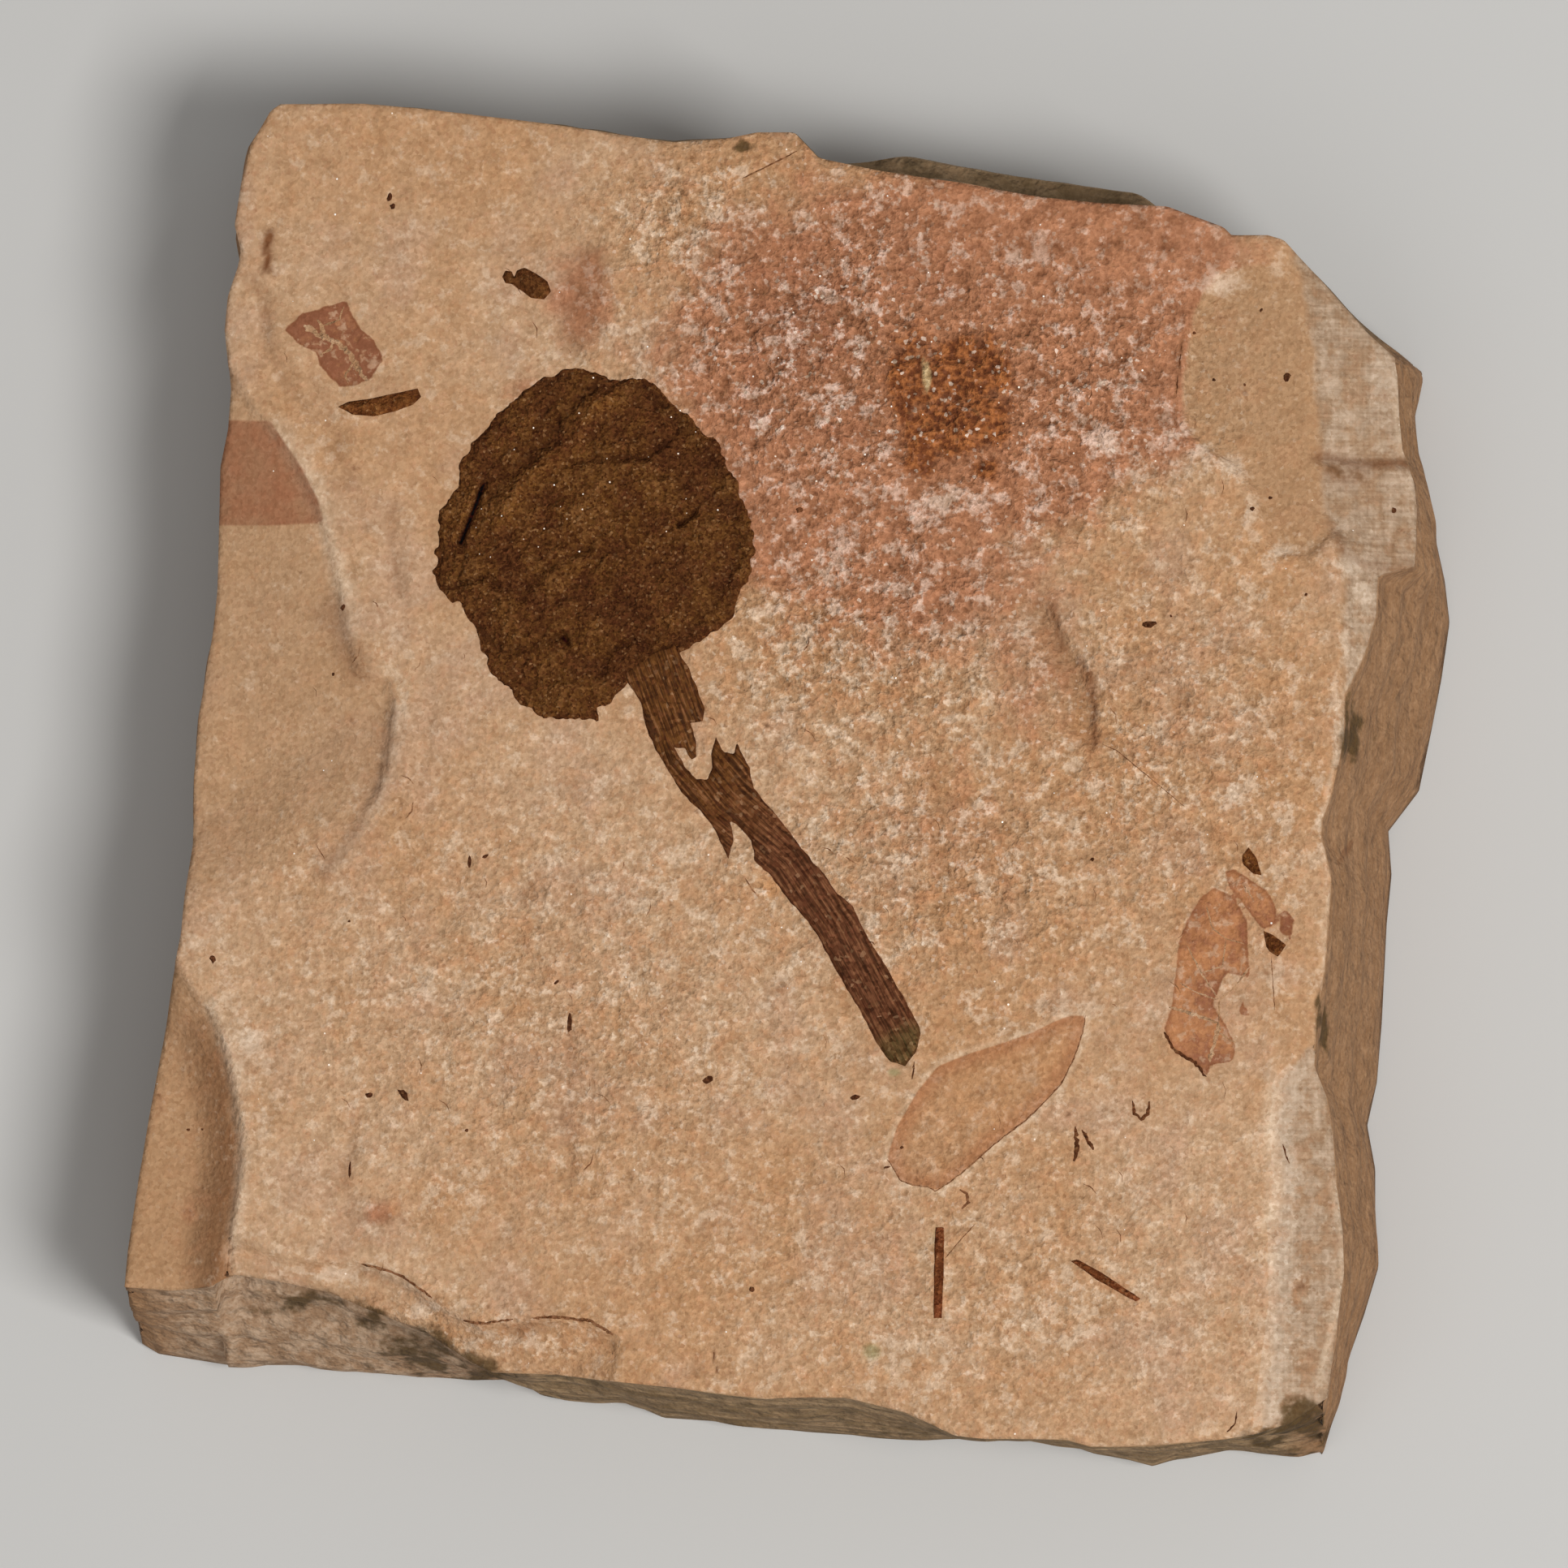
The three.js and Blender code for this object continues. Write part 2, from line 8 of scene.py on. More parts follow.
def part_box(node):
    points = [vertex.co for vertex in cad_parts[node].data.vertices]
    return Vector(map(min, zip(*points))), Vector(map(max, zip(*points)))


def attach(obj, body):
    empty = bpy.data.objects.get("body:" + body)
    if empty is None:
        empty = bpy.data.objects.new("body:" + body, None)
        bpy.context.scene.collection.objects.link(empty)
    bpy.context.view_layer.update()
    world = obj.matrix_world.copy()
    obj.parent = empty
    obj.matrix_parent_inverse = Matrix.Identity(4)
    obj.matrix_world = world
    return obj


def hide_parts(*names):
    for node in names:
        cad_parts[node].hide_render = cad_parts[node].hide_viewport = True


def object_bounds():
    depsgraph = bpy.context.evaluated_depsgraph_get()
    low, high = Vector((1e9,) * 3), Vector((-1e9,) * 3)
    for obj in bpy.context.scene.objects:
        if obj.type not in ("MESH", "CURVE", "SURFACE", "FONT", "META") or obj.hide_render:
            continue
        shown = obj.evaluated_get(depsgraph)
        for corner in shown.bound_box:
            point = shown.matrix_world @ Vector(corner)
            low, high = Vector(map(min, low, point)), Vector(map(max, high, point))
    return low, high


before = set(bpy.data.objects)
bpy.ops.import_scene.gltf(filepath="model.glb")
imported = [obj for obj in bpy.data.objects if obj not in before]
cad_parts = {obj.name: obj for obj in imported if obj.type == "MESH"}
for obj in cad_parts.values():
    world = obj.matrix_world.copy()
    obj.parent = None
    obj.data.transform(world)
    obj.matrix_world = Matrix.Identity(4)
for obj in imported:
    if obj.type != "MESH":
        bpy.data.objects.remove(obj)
cad_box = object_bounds()

MM = 0.001  # sizes and places are in mm
SLAB_HEIGHT = 16.0
SLAB_MIDDLE = np.array([-0.36, 0.44])  # middle of the slab's box on the outlines' own axes
FACE_STEPS, SIDE_STEPS = 260, 26
FIRST_BEND = {"height": 0.12, "width": 0.5}  # the rounded arris between face and sides
FILM_BED, FILM_ROWS = 0.3, 0.87  # how far films reach down into the rock; rows against spacing
NOISE_CELLS, NOISE_START = 256, 1000.0
FLECK_CORNERS, FLECK_LIFTS = 9, (0.08, 0.06, -0.02)  # its middle, shoulder and rim
RIBBON_STEP, RIBBON_LIFTS = 0.18, (-0.005, 0.02, -0.005)  # edge, middle and edge
STRAY_HAIRS = 90
COAL_GLEAM = 0.1

# Mica
FLAKE_RADIUS, FLAKE_CORNERS, FLAKE_LIFT, FLAKE_SIZES = 0.045, 5, 0.4, (0.5, 1.6)
FLAKE_TILT = 0.35  # radians
FACE_FLAKES, CONE_FLAKES = 45000.0, 170000.0  # per square metre
HEADROOM = 0.06  # what the flakes may stand proud

# Edges of the split face in mm, west to east and south to north; each pair shares its corners
SOUTH_EDGE = [
    (-40.8, -30.8), (-37.9, -31.0), (-35.3, -30.8), (-33.9, -30.1), (-30.8, -30.6),
    (-28.0, -31.2), (-26.0, -32.1), (-23.7, -33.0), (-22.3, -33.4), (-21.1, -34.3),
    (-19.4, -35.4), (-18.0, -36.1), (-14.0, -36.2), (-10.9, -36.7), (-4.1, -37.4),
    (-1.0, -37.8), (3.8, -37.7), (7.5, -38.6), (10.6, -40.1), (12.4, -40.3), (17.5, -40.3),
    (18.9, -40.7), (21.2, -40.7), (24.2, -40.5), (27.2, -40.3), (29.0, -40.0), (31.1, -39.3),
    (32.3, -38.5), (33.4, -37.7),
]
EAST_EDGE = [
    (33.4, -37.7), (34.0, -33.0), (34.4, -30.0), (34.3, -27.4), (33.9, -24.6), (33.7, -21.5),
    (33.3, -19.2), (32.6, -17.4), (32.7, -14.2), (33.2, -11.6), (33.6, -5.9), (33.0, -3.3),
    (33.0, -2.4), (33.7, -0.4), (34.4, 2.8), (34.4, 5.4), (35.0, 6.7), (35.6, 8.0),
    (36.3, 10.5), (36.4, 12.9), (38.6, 13.6), (38.8, 17.1), (38.6, 18.8), (37.9, 20.8),
    (37.7, 22.9), (37.6, 25.2), (37.4, 26.5),
]
NORTH_EDGE = [
    (-31.3, 42.2), (-26.1, 42.2), (-22.0, 41.8), (-14.7, 40.9), (-7.0, 39.7), (-3.7, 39.9),
    (-1.8, 40.3), (0.5, 40.3), (2.0, 38.7), (5.7, 37.9), (11.4, 37.0), (15.8, 36.2),
    (19.6, 35.8), (23.5, 35.6), (27.0, 34.3), (27.5, 33.8), (29.7, 33.8), (30.7, 33.5),
    (32.6, 31.5), (35.8, 27.9), (37.4, 26.5),
]
WEST_EDGE = [
    (-40.8, -30.8), (-40.6, -28.5), (-40.0, -24.5), (-39.3, -20.2), (-38.6, -16.4),
    (-37.8, -12.1), (-37.2, -9.1), (-37.0, -6.7), (-36.6, -3.6), (-36.6, 0.7), (-36.3, 4.6),
    (-35.5, 9.4), (-35.2, 12.2), (-35.1, 16.3), (-35.0, 19.8), (-34.5, 22.1), (-34.3, 24.6),
    (-34.7, 28.2), (-34.5, 30.3), (-33.9, 32.1), (-33.7, 33.1), (-34.1, 34.7), (-33.7, 37.3),
    (-33.1, 39.7), (-31.9, 41.8), (-31.3, 42.2),
]

# Edges of the foot, in the same order
SOUTH_FOOT = [
    (-41.0, -33.8), (-40.0, -34.4), (-35.6, -35.1), (-31.4, -35.1), (-28.3, -35.4),
    (-23.7, -35.7), (-17.7, -36.0), (-16.1, -37.0), (-14.6, -37.3), (-10.8, -37.4), (-8.5, -38.4),
    (-5.5, -38.6), (-2.4, -39.0), (0.6, -39.3), (6.7, -39.7), (12.8, -39.6), (17.4, -40.1),
    (21.9, -41.4), (23.4, -40.9), (26.5, -40.3), (31.0, -40.8), (32.6, -40.5),
]
EAST_FOOT = [
    (32.6, -40.5), (33.3, -38.0), (34.1, -35.0), (35.2, -31.9), (36.1, -28.9), (35.9, -25.5),
    (35.9, -22.8), (35.4, -20.1), (36.0, -17.4), (36.3, -13.7), (36.6, -7.6), (36.9, -4.5),
    (36.7, -1.8), (38.6, 0.7), (39.4, 4.6), (40.0, 7.7), (40.5, 11.2), (40.2, 13.8), (39.5, 17.0),
    (38.4, 21.7), (38.3, 24.0), (38.8, 26.3), (38.6, 26.9),
]
NORTH_FOOT = [
    (-31.6, 41.3), (-24.5, 41.3), (-14.0, 40.2), (-6.0, 38.8), (0.0, 39.1), (5.0, 37.4),
    (14.0, 35.8), (23.0, 34.4), (29.0, 33.0), (34.0, 30.0), (38.6, 26.9),
]
WEST_FOOT = [
    (-41.0, -33.8), (-40.9, -27.0), (-39.3, -18.0), (-37.7, -9.0), (-37.0, 0.0), (-36.0, 9.0),
    (-35.4, 18.0), (-34.8, 25.0), (-34.9, 31.0), (-34.0, 36.5), (-33.0, 40.0), (-31.6, 41.3),
]

# The sides break along the beds: share of the height, and how far the bed stands out in mm
BEDS = [
    (1.0, 0.0), (0.93, 0.0), (0.84, -0.35), (0.72, 0.1), (0.58, -0.35), (0.44, 0.1),
    (0.3, -0.35), (0.14, 0.0), (0.0, -0.2),
]
LEDGE = {"from": 1.5, "to": 24.6, "rise": 6.5, "fall": 3.5, "reach": 1.9, "share": (0.42, 0.73)}
SIDE_WAVE = {"height": 0.08, "length": 1.3, "lean": 9.0}
SIDE_CROWDING = 1.15  # levels lie closer together near the face
LAMINAE = {"east": 0.04, "elsewhere": 0.26, "warp": 0.28, "stride": 0.31}
OVERHANG = {"from": -35.0, "to": -17.0, "share": (0.7, 0.95), "depth": 0.5, "run": 0.45}

# Hollows and chips in the face
WEST_SCARP = [
    (-33.6, 25.0), (-32.7, 23.5), (-31.4, 22.0), (-29.9, 19.8), (-28.8, 17.7), (-28.2, 15.9),
    (-27.5, 13.3), (-26.8, 9.6), (-26.2, 7.2), (-24.2, 6.8), (-23.9, 4.6), (-24.3, 1.8),
    (-24.7, -0.2), (-25.8, -2.1), (-26.4, -3.4), (-27.8, -5.1),
]
WEST_BEYOND = [(-32.0, -7.6), (-38.5, -8.6), (-42.0, 10.0), (-40.0, 27.0), (-35.5, 27.0)]
CORNER_SCARP = [
    (-37.4, -11.0), (-36.5, -12.5), (-35.3, -13.6), (-34.3, -16.2), (-33.7, -18.6),
    (-33.2, -21.7), (-33.2, -23.5), (-33.6, -26.1), (-34.0, -28.9), (-34.1, -31.5),
]
CORNER_BEYOND = [(-34.1, -36.0), (-45.0, -36.0), (-45.0, -11.0)]
CHIP = [
    (30.7, 32.1), (28.8, 32.1), (26.7, 31.8), (25.6, 30.5), (24.8, 28.6), (24.2, 24.5),
    (24.2, 22.3), (25.1, 21.0), (26.4, 20.0), (28.0, 18.9), (29.1, 16.5), (29.4, 14.6),
    (30.4, 13.8), (32.3, 13.5), (33.8, 15.0), (36.2, 13.1), (40.0, 12.0), (44.0, 20.0),
    (40.0, 33.0), (33.0, 38.0),
]
FACET_BRINK = [(30.5, 33.5), (31.3, 30.1), (32.0, 26.3), (32.3, 20.7), (32.5, 16.8), (33.3, 14.9)]
EAST_BRINK = [(33.2, 15.8), (34.0, 12.5), (33.9, 9.0), (34.0, 5.0), (33.2, 1.0)]
CORNER_BRINK = [
    (31.5, -16.4), (30.0, -18.2), (29.8, -21.7), (30.0, -24.6), (29.7, -27.0), (29.7, -32.0),
    (29.3, -35.4), (28.7, -39.6),
]
BENCH_BRINK = [
    (-34.4, -27.6), (-30.5, -29.1), (-26.0, -29.3), (-23.4, -30.3), (-20.9, -32.2),
    (-18.5, -33.2), (-14.0, -32.8), (-11.9, -33.0), (-10.3, -33.9), (-10.0, -35.2),
    (-10.6, -37.2),
]
ARC_LINE = [(16.2, 11.3), (16.7, 10.3), (18.4, 7.4), (19.3, 4.6), (19.4, 2.3)]
FAR_EAST, FAR_SOUTH, FAR_WEST = (15.0, 0.0), (0.0, -15.0), (-15.0, 0.0)
# How the face falls away there: depth and width of each smooth step, and fall per mm past a brink
WEST_STEPS, WEST_FADE = [(0.45, 0.6), (1.2, 9.0)], 8.0
CORNER_STEPS = [(0.5, 0.4), (1.6, 3.4)]
CHIP_LIP = (0.55, 0.7)
CHIP_GROOVE = {"north": 20.3, "half": 0.8, "depth": 0.5}
FACET_FALL, EAST_FALL, CORNER_FALL, BENCH_FALL = 0.42, 0.7, 0.32, 0.22
BENCH_STEP, ARC_STEP, ARC_REACH = (0.5, 0.5), (0.35, 0.5), 3.0

# Pressed plant pieces
CONE_RIM = [
    (-12.6, 25.7), (-11.4, 25.4), (-10.3, 24.9), (-8.8, 25.1), (-8.1, 24.6), (-7.4, 24.0),
    (-6.6, 23.2), (-6.0, 22.9), (-5.5, 22.4), (-4.9, 21.6), (-4.2, 21.2), (-3.7, 20.3),
    (-3.4, 19.4), (-2.8, 18.6), (-2.7, 17.5), (-2.3, 16.9), (-2.2, 16.2), (-1.8, 15.2),
    (-1.9, 14.1), (-2.1, 13.2), (-2.5, 12.3), (-2.9, 11.5), (-3.2, 10.4), (-3.6, 10.0),
    (-4.3, 9.5), (-5.2, 8.8), (-6.2, 8.1), (-6.9, 7.8), (-8.0, 7.2), (-9.0, 6.5), (-9.8, 6.0),
    (-10.6, 5.2), (-11.5, 4.7), (-11.5, 3.9), (-12.6, 4.1), (-13.4, 3.9), (-14.7, 4.1),
    (-15.6, 4.6), (-16.4, 5.1), (-16.7, 5.9), (-17.5, 6.5), (-18.2, 7.3), (-18.8, 8.9),
    (-19.3, 10.0), (-19.7, 10.6), (-20.1, 11.3), (-20.5, 11.2), (-21.3, 12.1), (-21.6, 13.0),
    (-21.5, 14.3), (-21.3, 15.8), (-21.4, 17.0), (-20.8, 17.8), (-20.1, 18.3), (-20.1, 19.6),
    (-19.7, 20.3), (-19.1, 21.2), (-18.2, 22.3), (-17.5, 23.1), (-16.5, 24.0), (-15.7, 24.7),
    (-14.8, 25.2), (-13.5, 25.6),
]
# Ridges and folds of the cone: height and width in mm, then the line; less than nothing is a fold
CONE_FOLDS = [
    (0.24, 0.5, [(-10.6, 24.2), (-12.2, 22.4), (-13.4, 20.7), (-15.3, 19.3), (-16.9, 17.4), (-17.6, 15.8)]),
    (-0.22, 0.4, [(-11.6, 24.9), (-13.2, 23.4), (-14.6, 21.2), (-16.4, 19.8), (-17.9, 18.0)]),
    (-0.26, 0.18, [(-12.9, 19.8), (-10.6, 20.1), (-8.4, 20.2), (-7.0, 21.4), (-6.3, 22.0)]),
    (-0.40, 0.16, [(-6.5, 16.0), (-5.5, 16.8)]),
    (-0.75, 0.17, [(-18.6, 18.6), (-19.1, 17.2), (-19.5, 16.2), (-20.0, 14.9)]),
    (0.22, 0.3, [(-18.9, 18.9), (-19.7, 17.1), (-20.4, 15.4)]),
    (-0.50, 0.2, [(-13.6, 8.95), (-13.3, 8.7)]),
    (-0.24, 0.24, [(-11.3, 6.6), (-10.8, 8.2), (-9.2, 8.9), (-8.0, 8.2), (-6.4, 8.6)]),
    (-0.26, 0.22, [(-21.2, 12.0), (-19.5, 12.5), (-18.4, 12.9), (-17.6, 12.2)]),
    (-0.20, 0.28, [(-19.3, 9.9), (-17.2, 8.2), (-15.0, 8.7), (-12.9, 9.4)]),
    (0.16, 0.4, [(-18.6, 20.5), (-16.5, 21.9), (-14.8, 24.0)]),
    (-0.20, 0.25, [(-16.5, 11.3), (-14.6, 13.4), (-11.9, 14.6)]),
    (0.12, 0.45, [(-13.0, 23.8), (-9.8, 23.3), (-7.2, 21.9)]),
    (-0.16, 0.3, [(-8.7, 24.7), (-6.1, 21.9), (-4.4, 19.8), (-3.3, 17.2), (-2.8, 14.3),
                  (-4.0, 11.5), (-5.8, 9.6)]),
    (0.12, 0.5, [(-9.5, 13.0), (-7.4, 11.0), (-6.8, 9.9)]),
    (-0.14, 0.3, [(-10.9, 12.6), (-9.3, 10.8), (-8.6, 9.6)]),
    (0.10, 0.6, [(-14.9, 16.6), (-12.0, 17.1), (-9.0, 18.4)]),
    (-0.12, 0.3, [(-15.9, 5.9), (-14.6, 6.8), (-13.0, 6.4), (-11.9, 7.4)]),
]
STALK_OUTLINE = [
    (-9.9, 6.8), (-8.8, 5.0), (-8.5, 3.6), (-7.9, 2.1), (-7.0, 0.6), (-6.3, -0.5), (-5.2, -1.6),
    (-4.4, -2.5), (-3.9, -3.6), (-3.4, -4.6), (-3.1, -3.5), (-3.3, -2.3), (-2.9, -2.5),
    (-2.0, -3.5), (-1.8, -4.7), (-0.9, -5.5), (0.1, -6.9), (1.2, -8.1), (2.0, -9.2),
    (2.9, -10.8), (3.8, -12.5), (4.9, -14.3), (5.7, -15.9), (6.6, -17.1), (7.5, -17.4),
    (8.1, -16.6), (8.5, -15.5), (8.0, -14.2), (6.8, -12.1), (5.7, -10.3), (4.8, -8.7),
    (4.3, -7.5), (3.3, -6.8), (2.4, -5.5), (1.3, -4.2), (0.2, -2.7), (-0.9, -1.4), (-1.9, -0.3),
    (-2.1, 1.0), (-2.9, 2.5), (-3.1, 1.9), (-3.7, 1.9), (-4.2, 2.9), (-4.5, 1.9), (-4.4, 1.0),
    (-4.7, 0.3), (-5.4, 0.3), (-6.1, 1.1), (-6.8, 2.3), (-6.1, 2.2), (-5.7, 1.5), (-5.4, 1.7),
    (-5.5, 2.9), (-5.8, 3.8), (-5.0, 3.9), (-4.9, 4.7), (-5.4, 6.0), (-5.9, 7.1), (-6.8, 8.6),
    (-8.4, 8.0),
]
STALK_AXIS = [(-8.0, 7.5), (-6.0, 2.0), (-3.5, -1.0), (0.5, -4.6), (3.4, -8.8), (7.6, -16.6)]
LEAF_OUTLINE = [
    (-27.6, 23.4), (-27.0, 23.7), (-25.6, 23.9), (-24.1, 24.2), (-22.7, 24.5), (-22.5, 24.0),
    (-23.0, 23.5), (-24.1, 23.1), (-25.4, 22.8), (-26.7, 22.9),
]
SEED_OUTLINE = [
    (-17.5, 31.4), (-17.3, 31.8), (-16.9, 31.75), (-16.75, 31.4), (-16.6, 31.8), (-16.1, 31.95),
    (-15.4, 31.6), (-14.7, 31.1), (-14.5, 30.5), (-14.9, 30.0), (-15.7, 30.1), (-16.4, 30.6),
    (-16.8, 30.95), (-17.3, 31.0),
]
NEEDLE_A_OUTLINE = [(9.4, -27.3), (9.9, -27.3), (9.9, -29.6), (9.8, -32.9), (9.3, -32.9), (9.3, -30.0)]
NEEDLE_B_OUTLINE = [(17.7, -29.4), (18.1, -29.3), (19.6, -30.1), (22.0, -31.7), (21.7, -31.9), (19.4, -30.6)]

# Stains and prints that are only colour
WING = [
    (18.6, -14.3), (18.4, -15.4), (17.9, -16.9), (17.1, -18.5), (16.2, -19.5), (15.1, -20.6),
    (13.9, -21.5), (12.9, -22.3), (12.0, -23.1), (11.1, -23.9), (10.3, -24.5), (9.4, -25.1),
    (8.9, -24.8), (7.9, -24.7), (7.2, -24.4), (6.8, -23.7), (6.4, -23.1), (6.6, -22.3),
    (7.0, -21.1), (7.4, -20.4), (8.2, -19.0), (8.6, -18.5), (9.5, -17.4), (10.7, -16.9),
    (11.8, -16.5), (13.1, -16.1), (14.3, -15.7), (15.4, -15.3), (16.6, -14.7), (17.6, -14.3),
]
WING_DARK_RIM = WING[:17]
SCRAPS = [
    [(26.5, -6.4), (25.6, -7.1), (24.8, -8.5), (24.3, -9.9), (24.1, -11.9), (23.9, -13.6),
     (23.4, -15.3), (24.0, -16.4), (25.3, -17.2), (26.0, -18.1), (26.3, -17.4), (27.7, -17.1),
     (27.8, -16.1), (27.0, -14.5), (26.4, -13.7), (27.2, -11.7), (28.7, -12.0), (28.6, -10.7),
     (28.5, -8.5), (27.7, -7.1)],
    [(27.1, -5.5), (27.7, -5.3), (28.9, -6.1), (29.8, -6.7), (30.3, -7.7), (30.3, -8.8),
     (29.4, -9.0), (28.5, -7.8), (27.4, -6.4)],
    [(30.9, -7.8), (31.4, -8.5), (31.2, -9.7), (30.5, -9.2), (30.5, -8.1)],
    [(28.2, -13.3), (28.7, -14.4), (28.0, -14.2)],
    [(-31.0, 28.2), (-29.9, 29.2), (-27.1, 30.0), (-26.9, 29.3), (-26.2, 28.2), (-25.4, 27.5),
     (-24.8, 26.4), (-25.6, 25.1), (-26.6, 24.7), (-27.5, 24.6), (-28.8, 26.0), (-29.0, 26.8),
     (-30.0, 27.2)],
]
# Pale cracks that cross the scraps: half width in mm, then the line
PALE_CRACKS = [
    (0.13, [(23.7, -13.8), (25.2, -14.2), (26.8, -14.8)]),
    (0.16, [(26.8, -14.8), (26.5, -16.0), (26.2, -17.2)]),
    (0.07, [(26.8, -14.8), (26.8, -13.4), (27.8, -12.5), (28.7, -11.3)]),
    (0.06, [(24.8, -10.0), (25.7, -11.7), (26.8, -13.4)]),
    (0.05, [(27.2, -9.6), (27.0, -11.3), (25.7, -11.7)]),
    (0.05, [(26.0, -7.6), (26.4, -9.0), (27.2, -9.6), (28.3, -9.9)]),
    (0.05, [(24.4, -12.3), (25.4, -12.9), (26.8, -13.4)]),
    (0.06, [(27.8, -16.0), (26.8, -15.4), (26.5, -16.0)]),
    (0.05, [(28.2, -6.2), (28.9, -7.2)]),
    (0.20, [(-29.8, 28.5), (-28.8, 27.8), (-27.9, 27.5), (-26.9, 26.7), (-26.4, 25.8), (-25.9, 25.0)]),
    (0.15, [(-28.9, 28.8), (-28.7, 28.3), (-28.4, 27.7)]),
    (0.08, [(-28.8, 26.6), (-28.1, 27.0), (-27.9, 27.5)]),
    (0.07, [(-27.3, 29.6), (-27.6, 28.8), (-28.6, 28.4)]),
    (0.07, [(-27.0, 24.8), (-27.2, 25.4), (-26.6, 26.2)]),
]
SCRAP_SHADE = SCRAPS[0][6:10]
STAIN = [
    (-36.5, 16.2), (-36.5, 22.7), (-34.0, 22.7), (-31.8, 22.6), *WEST_SCARP[2:5], (-28.4, 16.2),
    (-32.0, 16.1),
]
# Creases let into the face: half width in mm, then the line
CHIP_CREASE = [(24.5, 27.5), (24.2, 25.1), (24.0, 22.1)]
BENCH_CREASE = [(-4.3, -34.6), (-4.2, -35.4), (-4.0, -36.2)]
CREASES = [
    (0.11, CHIP_CREASE),
    (0.10, BENCH_CREASE),
    (0.10, [(34.6, -3.1), (33.95, -4.7)]),
]
# Soft grooves in the face: depth and width in mm, then the line; less than nothing is a ridge
GROOVES = [
    (0.20, 0.5, [(-32.3, 30.5), (-32.3, 26.4), (-30.6, 24.5), (-29.0, 22.7), (-28.4, 19.9)]),
    (-0.10, 0.8, [(-31.0, 27.5), (-29.6, 24.5), (-27.8, 20.5), (-26.4, 15.5), (-25.2, 10.5)]),
    (-0.10, 0.5, [(-23.2, 6.6), (-23.1, 3.5), (-23.6, 0.0)]),
    (0.12, 0.4, [(-22.3, 8.5), (-21.8, 4.5), (-22.4, 0.5)]),
    (0.12, 0.4, [(-19.5, -4.0), (-20.3, -7.5), (-21.8, -10.0)]),
    (0.12, 0.5, [(-16.6, -5.2), (-16.0, -8.0), (-16.8, -11.5)]),
    (-0.12, 0.7, [(7.0, 19.0), (10.0, 17.8), (13.0, 18.6), (16.5, 19.5)]),
]
# Painted brown shade on walls, at the feet of scarps and along steps, with one real brown smear among them:
# strength and reach in mm, then the line
SHADES = [
    (0.6, 0.55, [(-24.3, 4.4), (-24.7, 1.6), (-25.1, -0.3), (-26.2, -2.3), (-27.2, -3.9), (-28.3, -5.4)]),
    (0.6, 0.9, [(-27.9, 11.0), (-27.0, 8.6), (-26.3, 7.0)]),
    (1.6, 0.34, [(-31.9, 34.2), (-32.25, 33.5), (-32.0, 32.8), (-32.2, 32.1)]),
    (0.5, 0.4, [(-33.2, 31.5), (-32.4, 30.4), (-32.0, 29.0), (-31.9, 27.8)]),
    (0.3, 0.4, [(-31.9, 27.8), (-31.0, 25.0), (-29.0, 22.7)]),
    (0.9, 0.4, [(32.8, 20.1), (34.4, 19.9), (36.0, 19.8), (38.0, 19.9)]),
    (0.6, 0.7, [(33.8, 19.2), (34.6, 18.9), (35.3, 19.2)]),
    (0.5, 0.4, [(33.6, 15.9), (34.4, 14.4), (35.6, 13.5), (38.5, 13.3)]),
    (1.1, 0.26, [(16.4, 11.1), (16.75, 9.9), (17.2, 8.2)]),
    (1.2, 0.30, [(18.2, 7.5), (18.9, 6.4), (19.2, 5.0), (19.15, 2.5)]),
    (0.35, 1.0, [(16.0, 11.0), (16.6, 8.2), (18.2, 6.0), (18.5, 2.8)]),
    (0.55, 0.9, [(-11.5, 32.6), (-12.4, 30.4), (-13.0, 27.4)]),
    (0.4, 0.35, [(-25.8, -29.8), (-23.4, -30.8), (-20.9, -32.6), (-18.5, -33.6), (-14.0, -33.2)]),
]
# Grooves with shade in them: depth and width, strength and reach of the shade, then the line
SHADED_GROOVES = [
    (0.14, 0.5, 0.30, 0.4, [(-29.1, 25.3), (-28.2, 22.7), (-26.8, 18.5), (-26.0, 16.0)]),
    (0.14, 0.4, 0.35, 0.35, [(-24.2, 17.5), (-24.3, 15.0), (-23.9, 12.0)]),
    (0.15, 0.4, 0.4, 0.35, [(-13.1, -15.5), (-13.0, -18.0), (-13.4, -21.0), (-12.9, -24.0)]),
    (0.10, 0.5, 0.3, 0.4, [(-26.5, -20.5), (-26.9, -24.0), (-26.3, -27.0)]),
    (0.12, 0.5, 0.35, 0.6, [(3.5, 25.0), (5.2, 22.4), (7.0, 20.6)]),
]
GROOVES += [(depth, width, line) for depth, width, _, _, line in SHADED_GROOVES]
SHADES += [(shade, reach, line) for _, _, shade, reach, line in SHADED_GROOVES]
